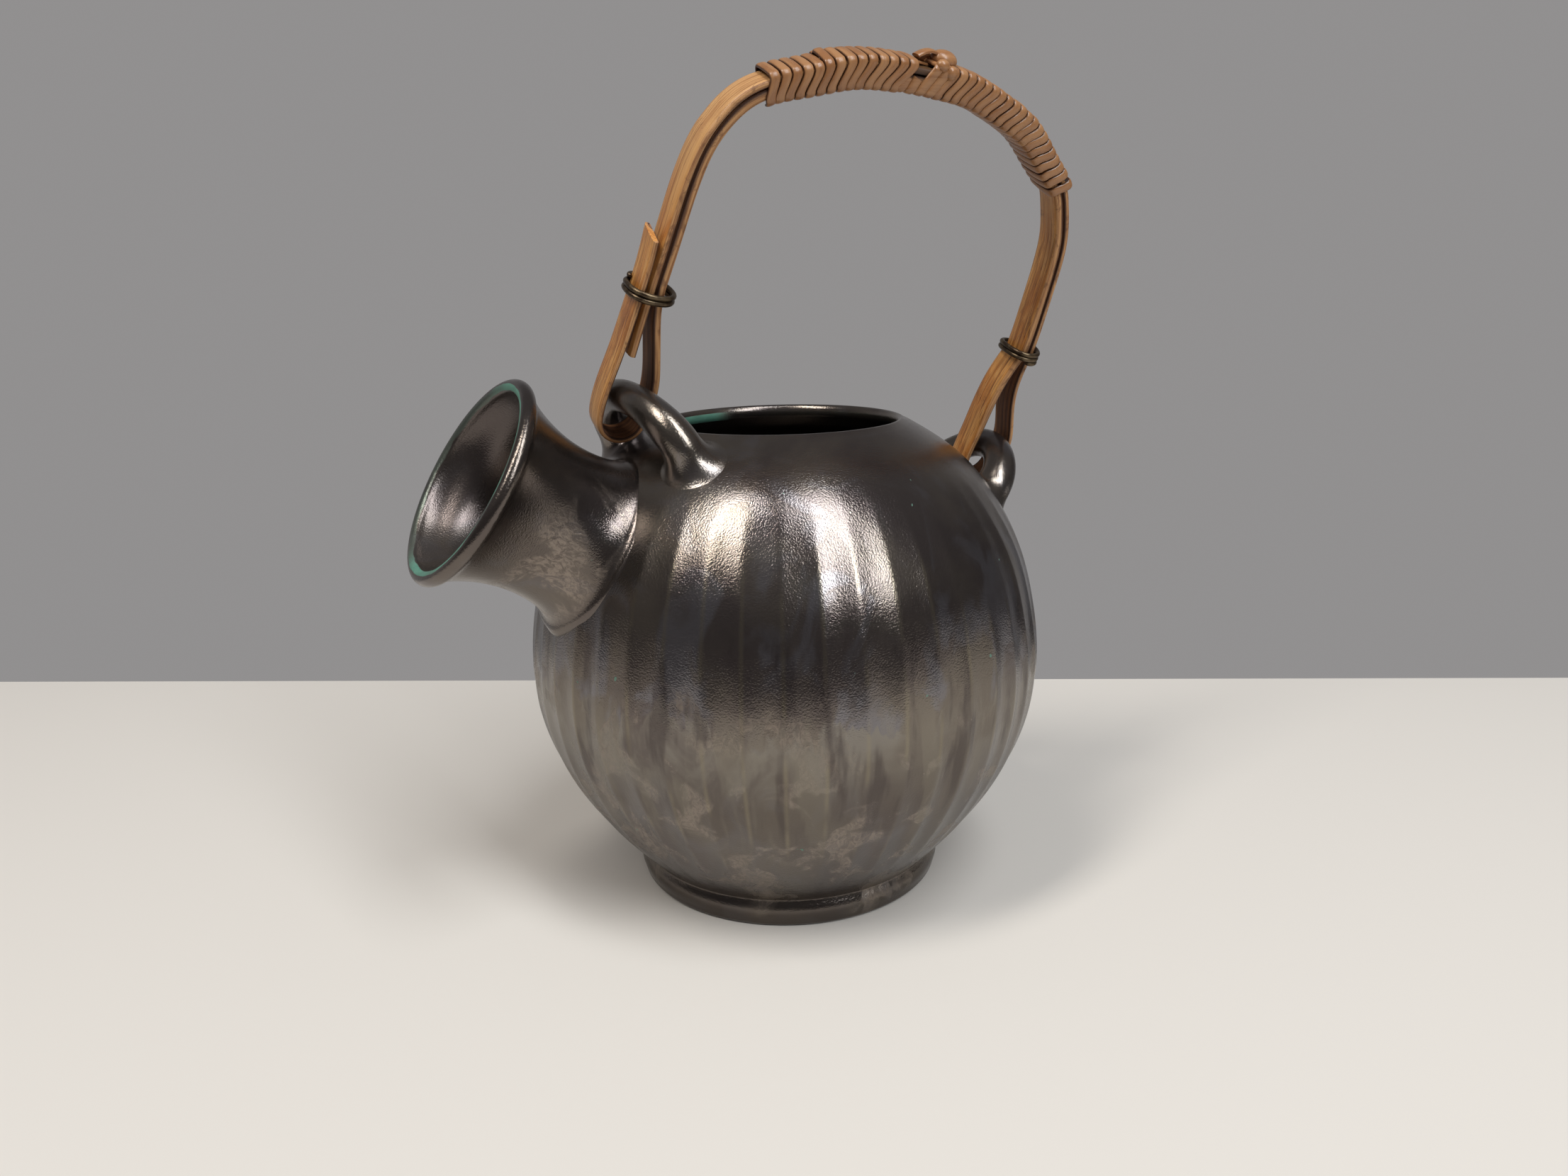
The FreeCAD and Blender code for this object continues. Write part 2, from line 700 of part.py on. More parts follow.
def rattan_wrap(label, start, turns):
    """Flat strip of rattan wound about both layers and the lay strand, its turns side by side."""
    thick = size("rattan_thickness")
    spare = size("rattan_clearance")
    pitch = size("rattan_pitch")
    corner = size("rattan_corner")
    total = size("outer_layer") + size("layer_gap") + size("inner_layer")
    half_wide = size("strip_width") / 2 + spare + thick / 2
    high = -(size("lay_thickness") + 2 * spare + thick / 2)
    deep = total + spare + thick / 2
    rings = []
    leading = []
    trailing = []
    for turn in range(turns + 1):
        for across, side, part, share, frame_share in TURN_SHARES:
            if turn == turns and share > 0:
                break
            distance = start + pitch * (turn + frame_share)
            point, heading, inward = arch_frame(distance)
            ahead, _, ahead_inward = arch_frame(distance + pitch)
            quarter = CORNER_ORDER.index((across, side))
            angle = math.pi / 2 * (quarter + part)
            out_deep = math.cos(angle)
            out_wide = -math.sin(angle)
            depth = (deep - corner if side > 0 else high + corner) + corner * out_deep
            sideways = Vector(0, across * (half_wide - corner) + corner * out_wide, 0)
            centre = point + heading * (pitch * (share - frame_share)) + inward * depth + sideways
            out = inward * out_deep + Vector(0, out_wide, 0)
            local = (ahead + ahead_inward * depth - point - inward * depth).Length
            half = (local - size("rattan_gap")) / 2
            rings.append([centre + heading * (half * along_share) + out * (thick / 2 * out_share)
                          for along_share, out_share in RATTAN_SECTION_SHARES])
            leading.append(centre + heading * half)
            trailing.append(centre - heading * half)
    least = None
    per_turn = len(TURN_SHARES)
    for number, point in enumerate(leading[:-per_turn]):
        for other in trailing[number + per_turn - 1:number + per_turn + 2]:
            away = (other - point).Length
            if least is None or away < least:
                least = away
    print(label, "least gap to itself", round(least, 3))
    return flat_solid(rings)


LAY_STATIONS = 20


def lay_strand(start, end):
    """Flat strand on the skin that the wraps hold down."""
    spare = size("rattan_clearance")
    thick = size("lay_thickness")
    half = size("lay_width") / 2
    wires = []
    for index in range(LAY_STATIONS + 1):
        point, _, inward = arch_frame(start + (end - start) * index / LAY_STATIONS)
        low = point - inward * spare
        high = low - inward * thick
        side = Vector(0, half, 0)
        wires.append(polygon([low - side, low + side, high + side, high - side]))
    return Part.makeLoft(wires, True, True)


BEAD_LEVELS = 5
BEAD_SIDES = 10
BEAD_POLE_SHARE = 0.35
# Beads as (share of the band's width along, share of the core's half width across, share of the
# core's height up) and half sizes as shares of the knot bead
KNOT_BEADS = [
    ((0.70, 0.00, 1.00), (1.30, 1.00, 0.86)),
    ((-0.60, -1.00, 0.40), (0.62, 0.42, 0.62)),
    ((0.82, -1.00, 0.00), (0.55, 0.42, 0.55)),
]
KNOT_CORE_BANDS = 8


def bead(place, shares):
    """Rounded lump with three half sizes, given as shares of the knot bead."""
    long, wide, high = [size("knot_bead") * share for share in shares]
    rings = []
    for level in range(BEAD_LEVELS + 1):
        rise = math.pi * ((level + BEAD_POLE_SHARE) / (BEAD_LEVELS + 2 * BEAD_POLE_SHARE) - 0.5)
        points = []
        for index in range(BEAD_SIDES):
            angle = 2 * math.pi * index / BEAD_SIDES
            points.append(place + Vector(long * math.cos(rise) * math.cos(angle),
                                         wide * math.cos(rise) * math.sin(angle), high * math.sin(rise)))
        rings.append(polygon(points))
    return Part.makeLoft(rings, True, True)


def knot_solid(distance):
    """Knot over the core: a double band with one large bead on top and two small ones beside it."""
    thick = size("rattan_thickness")
    spare = size("rattan_clearance")
    total = size("outer_layer") + size("layer_gap") + size("inner_layer")
    half_wide = size("strip_width") / 2 + spare
    high = size("lay_thickness") + 2 * spare
    deep = total + spare
    band = size("knot_band")
    point, heading, inward = arch_frame(distance)
    up = inward * -1
    frame = Placement(point, Rotation(heading, Vector(0, 1, 0), up, "ZXY"))
    groove = size("knot_band_groove")
    solid = None
    for side in (-1, 1):
        shift = side * (band / 2 + groove) - band / 2
        hole = Part.makeBox(band + 2 * spare, 2 * half_wide, high + deep,
                            Vector(shift - spare, -half_wide, -deep))
        loop = Part.makeBox(band, 2 * (half_wide + thick), high + deep + 2 * thick,
                            Vector(shift, -half_wide - thick, -deep - thick))
        corners = [edge for edge in loop.Edges if abs(edge.Vertexes[0].X - edge.Vertexes[1].X) > band / 2]
        loop = loop.makeFillet(thick, corners).cut(hole)
        solid = loop if solid is None else solid.fuse(loop)
    bridge = Part.makeBox(2 * groove + band, half_wide, thick,
                          Vector(-groove - band / 2, -half_wide / 2, high))
    solid = solid.fuse(bridge)
    core = Part.makeBox(KNOT_CORE_BANDS * band, 2 * half_wide, high + deep,
                        Vector(-KNOT_CORE_BANDS * band / 2, -half_wide, -deep))
    wrap_edge = size("knot_from_rear_wrap") - size("rattan_width") / 2 - size("rattan_gap")
    seat = Part.makeBox(KNOT_CORE_BANDS * band, 2 * half_wide, high + thick + spare + deep,
                        Vector(wrap_edge, -half_wide, -deep))
    for (along_share, across_share, up_share), shares in KNOT_BEADS:
        up_size = high + thick if along_share > 0 and across_share == 0 else high
        place = Vector(band * along_share, half_wide * across_share, up_size * up_share)
        solid = solid.fuse(bead(place, shares).cut(core).cut(seat))
    return solid.removeSplitter().transformed(frame.toMatrix(), True)


BAIL = bail_placement()
strip = feature("bamboo_strip", strip_solid(), BAIL)

stack_depth = size("outer_layer") + size("layer_gap") + size("inner_layer")
free_depth = size("loop_thickness") + size("layer_gap")
front_wire = feature("front_binding_wire", binding_wire(
    "front_binding_wire", size("wire_height"), -free_depth, stack_depth, 0), BAIL)
rear_wire = feature("rear_binding_wire", binding_wire(
    "rear_binding_wire", size("rear_wire_height"), 0, stack_depth, ARCH_LENGTH), BAIL)

front_start = arch_distance(size("wrap_start"))
front_end = front_start + size("rattan_pitch") * size("front_wrap_turns")
rear_start = front_end + size("knot_space")
front_wrap = feature("front_rattan_wrap",
                     rattan_wrap("front_rattan_wrap", front_start, int(size("front_wrap_turns"))), BAIL)
rear_wrap = feature("rear_rattan_wrap",
                    rattan_wrap("rear_rattan_wrap", rear_start, int(size("rear_wrap_turns"))), BAIL)
rear_end = rear_start + size("rattan_pitch") * size("rear_wrap_turns")
strand = feature("rattan_lay_strand", lay_strand(front_start - size("rattan_pitch"), rear_end), BAIL)
knot = feature("rattan_knot", knot_solid(rear_start - size("knot_from_rear_wrap")), BAIL)

doc.recompute()

NODES = [pot_body, foot_ring, spout, lugs[0], lugs[1], strip, front_wire, rear_wire, front_wrap, rear_wrap,
         knot, strand]
for item in doc.Objects:
    if "Invalid" in item.State or "Error" in item.State:
        raise RuntimeError("object in error: " + item.Label)
for item in NODES:
    if item.Shape.isNull() or not item.Shape.isValid() or len(item.Shape.Solids) != 1:
        raise RuntimeError("not one valid solid: " + item.Label)
os.makedirs("parts", exist_ok=True)
for item in NODES:
    item.Shape.exportStep("parts/%s.step" % item.Label)
    box = item.Shape.BoundBox
    print(item.Label, "volume", round(item.Shape.Volume), "box", round(box.XMin, 1), round(box.XMax, 1),
          round(box.YMin, 1), round(box.YMax, 1), round(box.ZMin, 1), round(box.ZMax, 1))
print("front bar", FRONT_BAR, "rear bar", REAR_BAR)
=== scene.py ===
import bisect
import random
from math import atan2, copysign, cos, exp, hypot, pi, radians, sin

import bpy
from mathutils import Matrix, Vector, noise


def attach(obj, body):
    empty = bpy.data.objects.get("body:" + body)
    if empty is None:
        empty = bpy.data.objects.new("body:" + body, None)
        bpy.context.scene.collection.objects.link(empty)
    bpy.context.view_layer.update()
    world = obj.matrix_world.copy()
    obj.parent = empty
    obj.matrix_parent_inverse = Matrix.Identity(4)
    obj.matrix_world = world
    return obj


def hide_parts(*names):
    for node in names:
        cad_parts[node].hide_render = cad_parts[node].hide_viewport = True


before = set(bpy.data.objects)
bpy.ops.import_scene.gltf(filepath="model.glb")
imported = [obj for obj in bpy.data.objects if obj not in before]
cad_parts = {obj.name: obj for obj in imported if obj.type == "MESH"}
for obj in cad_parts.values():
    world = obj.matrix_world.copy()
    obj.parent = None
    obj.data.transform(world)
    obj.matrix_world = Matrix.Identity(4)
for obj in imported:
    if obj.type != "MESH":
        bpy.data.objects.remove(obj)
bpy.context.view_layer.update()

MM = 0.001


# Curves, in millimetres
class Spline:
    """Smooth curve through points, walked by its length."""

    def __init__(self, points, samples=900):
        knots = [0.0]
        for a, b in zip(points, points[1:]):
            knots.append(knots[-1] + (Vector(b) - Vector(a)).length)
        self.knots = knots
        self.points = [Vector(p) for p in points]
        self.bends = self._bends()
        self.line = [self._at(knots[-1] * i / samples) for i in range(samples + 1)]
        self.away = [0.0]
        for a, b in zip(self.line, self.line[1:]):
            self.away.append(self.away[-1] + (b - a).length)
        self.length = self.away[-1]

    def _bends(self):
        """Second derivatives at the points, for a natural cubic spline."""
        n = len(self.points)
        h = [b - a for a, b in zip(self.knots, self.knots[1:])]
        bends = [Vector((0, 0, 0)) for _ in range(n)]
        low = [0.0] * n
        right = [Vector((0, 0, 0)) for _ in range(n)]
        for i in range(1, n - 1):
            before, here, after = self.points[i - 1:i + 2]
            pull = 6 * ((after - here) / h[i] - (here - before) / h[i - 1])
            d = 2 * (h[i - 1] + h[i]) - h[i - 1] * low[i - 1]
            low[i] = h[i] / d
            right[i] = (pull - right[i - 1] * h[i - 1]) / d
        for i in range(n - 2, 0, -1):
            bends[i] = right[i] - bends[i + 1] * low[i]
        return bends

    def _at(self, t):
        k = self.knots
        i = next((j for j in range(len(k) - 1) if t <= k[j + 1]), len(k) - 2)
        h = k[i + 1] - k[i]
        a = (k[i + 1] - t) / h
        b = (t - k[i]) / h
        p, q = self.points[i], self.points[i + 1]
        return (p * a + q * b
                + (self.bends[i] * (a ** 3 - a) + self.bends[i + 1] * (b ** 3 - b)) * (h * h / 6))

    def at(self, s):
        """Point and unit heading at a length from the start."""
        s = max(0.0, min(self.length, s))
        i = min(bisect.bisect_right(self.away, s), len(self.away) - 1) - 1
        f = (s - self.away[i]) / max(self.away[i + 1] - self.away[i], 1e-12)
        heading = self.line[min(i + 2, len(self.line) - 1)] - self.line[max(i - 1, 0)]
        return self.line[i].lerp(self.line[i + 1], f), heading.normalized()

    def walk(self, steps):
        """Points at equal lengths from start to end."""
        return [self.at(self.length * i / steps)[0] for i in range(steps + 1)]

    def where_x(self, x):
        """Length at which the curve has come to a given x."""
        for p, q, s in zip(self.line, self.line[1:], self.away):
            if p.x <= x <= q.x:
                return s + (q - p).length * (x - p.x) / max(q.x - p.x, 1e-12)
        return self.length


def way_at(line, i):
    """The way a line of points runs at one of them."""
    return (line[min(i + 1, len(line) - 1)] - line[max(i - 1, 0)]).normalized()


def smoothstep(a, b, x):
    t = min(max((x - a) / (b - a), 0.0), 1.0)
    return t * t * (3 - 2 * t)


def round_ring(radius, z, count):
    turns = [2 * pi * k / count for k in range(count)]
    return [(radius * cos(turn), radius * sin(turn), z) for turn in turns]


def arc(x, z, radius, turns):
    """Points of a rounded edge about a centre, at turns in degrees."""
    return [(x + radius * cos(radians(turn)), z + radius * sin(radians(turn)))
            for turn in turns]


# Meshes
def quads(rows, count, closed=False):
    """Faces between rows of count points; closed joins the last row to the first."""
    faces = []
    for i in range(rows if closed else rows - 1):
        j = (i + 1) % rows
        for k in range(count):
            m = (k + 1) % count
            faces.append((i * count + k, i * count + m, j * count + m, j * count + k))
    return faces


def caps(rows, count):
    """The two end faces of an open tube of rows."""
    last = (rows - 1) * count
    return [tuple(reversed(range(count))), tuple(range(last, last + count))]


def new_mesh(name, verts, faces, uvs=None, place=None, sharp=None):
    """Object from millimetre vertices; uvs gives one pair per face corner, sharp an angle in degrees."""
    mesh = bpy.data.meshes.new(name)
    mesh.from_pydata([tuple(c * MM for c in v) for v in verts], [], faces)
    if place is not None:
        mesh.transform(place)
    if uvs is not None:
        layer = mesh.uv_layers.new(name="Along")
        for loop, uv in zip(layer.data, uvs):
            loop.uv = uv
    for poly in mesh.polygons:
        poly.use_smooth = True
    mesh.update()
    if sharp is not None:
        mesh.set_sharp_from_angle(angle=radians(sharp))
    obj = bpy.data.objects.new(name, mesh)
    bpy.context.scene.collection.objects.link(obj)
    return obj


def skin(name, rings, lengths=None, place=None, sharp=None):
    """Closed tube through equal rings of points, with UVs in mm along and around it."""
    count = len(rings[0])
    if lengths is None:
        lengths = [0.0]
        for a, b in zip(rings, rings[1:]):
            lengths.append(lengths[-1] + (Vector(b[0]) - Vector(a[0])).length)
    around = [0.0]
    for a, b in zip(rings[0], rings[0][1:] + rings[0][:1]):
        around.append(around[-1] + (Vector(b) - Vector(a)).length)
    uvs = []
    for a, b in zip(lengths, lengths[1:]):
        for k in range(count):
            uvs += [(a, around[k]), (a, around[k + 1]), (b, around[k + 1]), (b, around[k])]
    uvs += [(lengths[0], around[k]) for k in reversed(range(count))]
    uvs += [(lengths[-1], around[k]) for k in range(count)]
    verts = [p for ring in rings for p in ring]
    faces = quads(len(rings), count) + caps(len(rings), count)
    return new_mesh(name, verts, faces, uvs, place, sharp)


def part(obj, body, material, slot, *nodes):
    """Hangs a piece on its body in place of its CAD node."""
    obj.data.materials.append(material)
    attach(obj, body)
    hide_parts(*nodes)
    return obj


# Driving sizes, in millimetres, the same as the solids'
BELLY = 69.6
BODY_HEIGHT = 120.0
FOOT_HEIGHT = 7.7
WALL = 4.2
FLUTES = 45
FLUTE_DEPTH = 0.62
BAR = 4.15
FRONT_FOOT = Vector((-36.547, 0, 122.0))
FRONT_BAR = Vector((-44.547, 0, 136.8))
FRONT_HALF_SPAN = 22.0
REAR_FOOT = Vector((58.841, 0, 101.4))
REAR_BAR = Vector((70.141, 0, 114.7))
REAR_HALF_SPAN = 15.8
BAIL_LEAN = 22.0
BAIL_RISE = 92.9
SPAN = (REAR_BAR - FRONT_BAR).length

# Pot: its outline as (share of the body's height, share of the belly's radius)
POT_OUTLINE = [
    (0.00, 0.604), (0.10, 0.754), (0.20, 0.871), (0.32, 0.962), (0.45, 1.000),
    (0.60, 0.976), (0.72, 0.920), (0.82, 0.830), (0.90, 0.722), (0.955, 0.603), (1.0, 0.4736),
]
POT_CURVE = Spline([(BELLY * r, 0, FOOT_HEIGHT + BODY_HEIGHT * h) for h, r in POT_OUTLINE])
POT_PROFILE = POT_CURVE.walk(200)
POT_TOP = FOOT_HEIGHT + BODY_HEIGHT
POT_AROUND = FLUTES * 14
POT_UP = 120
INSIDE_UP = 40
# Radius and height under the top of the rounded roll inside the mouth
MOUTH_ROLL = [
    (33.35, -0.40), (33.05, -0.14), (32.75, -0.02), (32.45, 0.00), (32.10, -0.10), (31.78, -0.32),
    (31.50, -0.68), (31.30, -1.15), (31.20, -1.70), (31.20, -2.25), (31.32, -2.75), (31.55, -3.20),
    (31.90, -3.60), (32.40, -4.00),
]
ROLL_ABOVE = 1.0
ROLL_BELOW = 5.6
ROLL_WITHIN = 33.4
FLUTE_ALLOWANCE = 0.6
FLOOR_THICK = 5.6
FLOOR_CORNER = 3.5
FLOOR_CLEAR = 6.5
# Radius and thickness of the floor where it is flat
FLOOR_MIDDLE = (12.0, 5.5)
# Flutes: shares of the body's height between which they soften, end below the rim and start
FLUTES_SOFTEN = (0.45, 0.75)
FLUTES_SOFTEN_BY = 0.6
FLUTES_END = (0.74, 0.93)
FLUTES_START = (0.01, 0.17)
FLUTE_HOLLOW = 1.1
FLUTE_LEAN = 0.08
FLUTE_UNEVEN = 0.35
TOOL_RADIUS = 16.4
TOOL_SPAN = (-62.0, -8.0)
TOOL_SIDES = 96


def flute_depth(angle, z):
    """How deep the carved flutes are at a place, hand-cut and so a little uneven."""
    share = (z - FOOT_HEIGHT) / BODY_HEIGHT
    fade = (1 - FLUTES_SOFTEN_BY * smoothstep(*FLUTES_SOFTEN, share)) * (1 - smoothstep(*FLUTES_END, share))
    fade *= smoothstep(*FLUTES_START, share)
    lean = FLUTE_LEAN * noise.noise(Vector((cos(angle) * 3, sin(angle) * 3, z * 0.025)))
    turn = (angle / (2 * pi) * FLUTES + lean) % 1.0
    hollow = sin(pi * turn) ** FLUTE_HOLLOW
    uneven = 1 + FLUTE_UNEVEN * noise.noise(Vector((cos(angle) * 9, sin(angle) * 9, z * 0.02)))
    return FLUTE_DEPTH * fade * hollow * uneven


def fluted_ring(radius, z, count):
    ring = []
    for k in range(count):
        angle = 2 * pi * k / count
        r = radius - flute_depth(angle, z)
        ring.append((r * cos(angle), r * sin(angle), z))
    return ring


def pot_piece():
    """Pot with its fluted outside, rolled mouth and smooth inside."""
    rings = []
    for point in POT_CURVE.walk(POT_UP):
        if point.z < POT_TOP - ROLL_ABOVE:
            rings.append(fluted_ring(point.x, point.z, POT_AROUND))
    inside = [(x, POT_TOP + z) for x, z in MOUTH_ROLL]
    for i in range(INSIDE_UP, -1, -1):
        point, way = POT_CURVE.at(POT_CURVE.length * i / INSIDE_UP)
        place = point + Vector((-way.z, 0, way.x)) * (WALL + FLUTE_ALLOWANCE)
        below_roll = place.z < POT_TOP - ROLL_BELOW and place.x > ROLL_WITHIN
        if below_roll and place.z > FOOT_HEIGHT + FLOOR_CLEAR:
            inside.append((place.x, place.z))
    inside.append((inside[-1][0] - FLOOR_CORNER, FOOT_HEIGHT + FLOOR_THICK))
    inside.append((FLOOR_MIDDLE[0], FOOT_HEIGHT + FLOOR_MIDDLE[1]))
    rings += [round_ring(x, z, POT_AROUND) for x, z in inside]
    return skin("pot_body_visual", rings)


def bore_cutter():
    """Round tool along the spout's line."""
    rings = [round_ring(TOOL_RADIUS, along, TOOL_SIDES) for along in TOOL_SPAN]
    return skin("bore_tool", rings, place=SPOUT_PLACE)


def cut(obj, tool):
    """Takes the tool out of the piece and deletes the tool."""
    modifier = obj.modifiers.new("cut", "BOOLEAN")
    modifier.operation = "DIFFERENCE"
    modifier.solver = "EXACT"
    modifier.object = tool
    bpy.context.view_layer.update()
    bpy.context.view_layer.objects.active = obj
    bpy.ops.object.modifier_apply(modifier=modifier.name)
    bpy.data.objects.remove(tool, do_unlink=True)


# Spout: local Z runs out along it, from the crest of its lip
SPOUT_PLACE = (Matrix.Translation(Vector((-85.9, 0, 120.6)) * MM)
               @ Matrix.Rotation(radians(32.3 - 90), 4, "Y"))
SPOUT_CREST = 25.1
SPOUT_LIP = 1.9
SPOUT_THROAT = 19.8
SPOUT_LENGTH = 36.0
SPOUT_WALL = 3.4
SPOUT_BORE = 16.2
SPOUT_ROOT = 14
FLANGE_RADIUS = 24.3
FLANGE_EDGE = 1.7
FLANGE_BEHIND = 1.0
# Trumpet as (share of the length behind the crest, share of the throat's radius, mm added inside)
TRUMPET = [(0.12, 1.262), (0.17, 1.208), (0.23, 1.155), (0.38, 1.060), (0.55, 1.002), (0.75, 1.004),
           (0.90, 1.062), (0.965, 1.12)]
BELL = [(0.40, 1.05, 0.0), (0.23, 1.155, 0.0), (0.12, 1.262, 0.6)]
BELL_FROM = 0.55
SPOUT_AROUND = 192
SPOUT_FIT = 0.9962
SPOUT_WOBBLE = 0.0012
WOBBLE_BEHIND = 5
WOBBLE_OUTSIDE = 17
# Drip of glaze on the flange: where round the spout, how deep, how wide (radians) and how long
DRIP_ANGLE = pi + 0.2
DRIP_DEPTH = 1.1
DRIP_WIDTH = 0.20
DRIP_LENGTH = 1.7
DRIP_BEHIND = 0.9
DRIP_OUTSIDE = 20


def spout_outline():
    """Closed outline of (radius, height): lip, outside, flange, root, bore, bell and lip again."""
    length = SPOUT_LENGTH
    outline = arc(SPOUT_CREST, -SPOUT_LIP, SPOUT_LIP, range(90, -61, -15))
    outside = Spline([(SPOUT_THROAT * r, 0, -length * s) for s, r in TRUMPET])
    outline += [(point.x, point.z) for point in outside.walk(36)]
    outline += arc(FLANGE_RADIUS - FLANGE_EDGE, -length - FLANGE_BEHIND, FLANGE_EDGE, range(75, -1, -15))
    outline += [(FLANGE_RADIUS, -length - SPOUT_ROOT), (SPOUT_BORE, -length - SPOUT_ROOT)]
    outline.append((SPOUT_BORE, -length * BELL_FROM - 10))
    bell = [(SPOUT_THROAT * r - SPOUT_WALL + more, 0, -length * s) for s, r, more in BELL]
    inside = Spline([(SPOUT_BORE, 0, -length * BELL_FROM - 4), (SPOUT_BORE, 0, -length * BELL_FROM), *bell,
                     (SPOUT_CREST - SPOUT_LIP + 0.05, 0, -SPOUT_LIP)])
    outline += [(point.x, point.z) for point in inside.walk(28)]
    return outline + arc(SPOUT_CREST, -SPOUT_LIP, SPOUT_LIP, range(165, 90, -15))


def spout_piece():
    """Trumpet spout with a rolled lip, the flange that it is luted on by and a drip of glaze."""
    outline = spout_outline()
    verts = []
    for x, z in outline:
        behind = z + SPOUT_LENGTH
        for k in range(SPOUT_AROUND):
            angle = 2 * pi * k / SPOUT_AROUND
            wave = noise.noise(Vector((cos(angle) * 1.6, sin(angle) * 1.6, z * 0.03)))
            wobbles = behind > -WOBBLE_BEHIND and x > WOBBLE_OUTSIDE
            r = x * (SPOUT_FIT + SPOUT_WOBBLE * wave) if wobbles else x
            if x > DRIP_OUTSIDE:
                aside = (angle - DRIP_ANGLE) / DRIP_WIDTH
                r += DRIP_DEPTH * exp(-aside ** 2 - ((behind + DRIP_BEHIND) / DRIP_LENGTH) ** 2)
            verts.append((r * cos(angle), r * sin(angle), z))
    faces = quads(len(outline), SPOUT_AROUND, closed=True)
    return new_mesh("spout_visual", verts, faces, None, SPOUT_PLACE, 50)


# Foot ring: its side as (mm past the outer radius, height)
FOOT_OUTER = 42.3
FOOT_INNER = 34.4
INNER_ROUND = 1.4
OUTER_ROUND = 1.5
FOOT_SIDE = [
    (0.35, 2.6), (0.62, 3.6), (0.68, 4.5), (0.50, 5.4), (0.12, 6.3), (-0.30, 7.1), (-0.50, 7.8),
    (-0.42, 8.5), (-0.05, 9.1), (0.45, 9.6), (-3.0, 9.8),
]
FOOT_AROUND = 256


def foot_piece():
    """Turned foot ring with rounded resting edges and a swelling side."""
    outline = arc(FOOT_INNER + INNER_ROUND, INNER_ROUND, INNER_ROUND, range(180, 271, 15))
    outline += arc(FOOT_OUTER - OUTER_ROUND, OUTER_ROUND, OUTER_ROUND, range(-90, 1, 15))
    outline += [(FOOT_OUTER + past, z) for past, z in FOOT_SIDE]
    outline.append((FOOT_INNER, FOOT_HEIGHT + 1.0))
    verts = [p for x, z in outline for p in round_ring(x, z, FOOT_AROUND)]
    faces = quads(len(outline), FOOT_AROUND, closed=True)
    return new_mesh("foot_ring_visual", verts, faces, None, None, 60)


# Lugs
FILLET = 6.0
FILLET_STEPS = 10
FILLET_SINK = 0.42
LUG_SUNK = 2.0
LEG_GROWTH = 0.85
LEG_GROWS = (0.20, 0.75)
LUG_UNEVEN = 0.03
LUG_FLATNESS = 0.96
LUG_AROUND = 48
LUG_ROWS = 40
LUG_BEYOND = 11.0


def pot_distance(point):
    """Signed distance of a point from the pot's outside, and the way out."""
    radius = hypot(point.x, point.y)
    best, way = None, None
    for a, b in zip(POT_PROFILE[::4], POT_PROFILE[4::4]):
        run = Vector((b.x - a.x, b.z - a.z))
        share = min(max(((radius - a.x) * run.x + (point.z - a.z) * run.y) / run.length_squared, 0.0), 1.0)
        off = Vector((radius - a.x - run.x * share, point.z - a.z - run.y * share))
        if best is None or off.length < abs(best):
            out = Vector((run.y, -run.x)).normalized()
            best = copysign(off.length, off.dot(out))
            way = Vector((out.x * point.x / radius, out.x * point.y / radius, out.y))
    return best, way


def lug_piece(name, foot, crown, half_span):
    """Pulled clay loop whose legs thicken and run out into the pot's wall in a fillet."""
    rise = crown - foot
    side = rise.cross(Vector((0, 1, 0))).normalized()
    up = rise.normalized()

    def surface(way, turn):
        """Point on the loop: way is -1 to 1 from foot to foot, and mm over 1 go on down the leg."""
        share = min(max(way, -1.0), 1.0)
        a = pi / 2 * share
        reach = Vector((0, half_span * sin(a), 0))
        middle = foot + rise * cos(a) + reach - up * (abs(way) - abs(share))
        heading = (rise * -sin(a) + Vector((0, half_span * cos(a), 0))).normalized()
        radius = BAR * (1 + LUG_UNEVEN * noise.noise(middle * 0.12))
        radius += LEG_GROWTH * smoothstep(*LEG_GROWS, abs(share))
        spoke = side * (LUG_FLATNESS * cos(turn)) + heading.cross(side) * sin(turn)
        return middle + spoke * radius, spoke

    def where(away, turn, leg):
        """How far down a leg the line at a turn comes within a distance of the wall."""
        low, high = 0.0, 1.0 + LUG_BEYOND
        for _ in range(22):
            half = (low + high) / 2
            if pot_distance(surface(half * leg, turn)[0])[0] > away:
                low = half
            else:
                high = half
        return (low + high) / 2

    def leg_rings(leg):
        """Rings from the crown down one leg, over the fillet and under the wall's surface."""
        lines = []
        for j in range(LUG_AROUND):
            turn = 2 * pi * j / LUG_AROUND
            top = where(FILLET, turn, leg)
            line = [surface(leg * top * i / LUG_ROWS, turn)[0] for i in range(1, LUG_ROWS + 1)]
            start = line[-1]
            meet, spoke = surface(leg * where(0.0, turn, leg), turn)
            out = pot_distance(meet)[1]
            end = meet + (spoke - out * spoke.dot(out)).normalized() * FILLET
            away, out = pot_distance(end)
            end -= out * (away + FILLET_SINK)
            for i in range(1, FILLET_STEPS + 1):
                t = i / FILLET_STEPS
                line.append(start * (1 - t) ** 2 + meet * (2 * t * (1 - t)) + end * t ** 2)
            line.append(end - out * LUG_SUNK)
            lines.append(line)
        return [[line[i] for line in lines] for i in range(len(lines[0]))]

    crown_ring = [surface(0.0, 2 * pi * j / LUG_AROUND)[0] for j in range(LUG_AROUND)]
    return skin(name, leg_rings(-1)[::-1] + [crown_ring] + leg_rings(1))


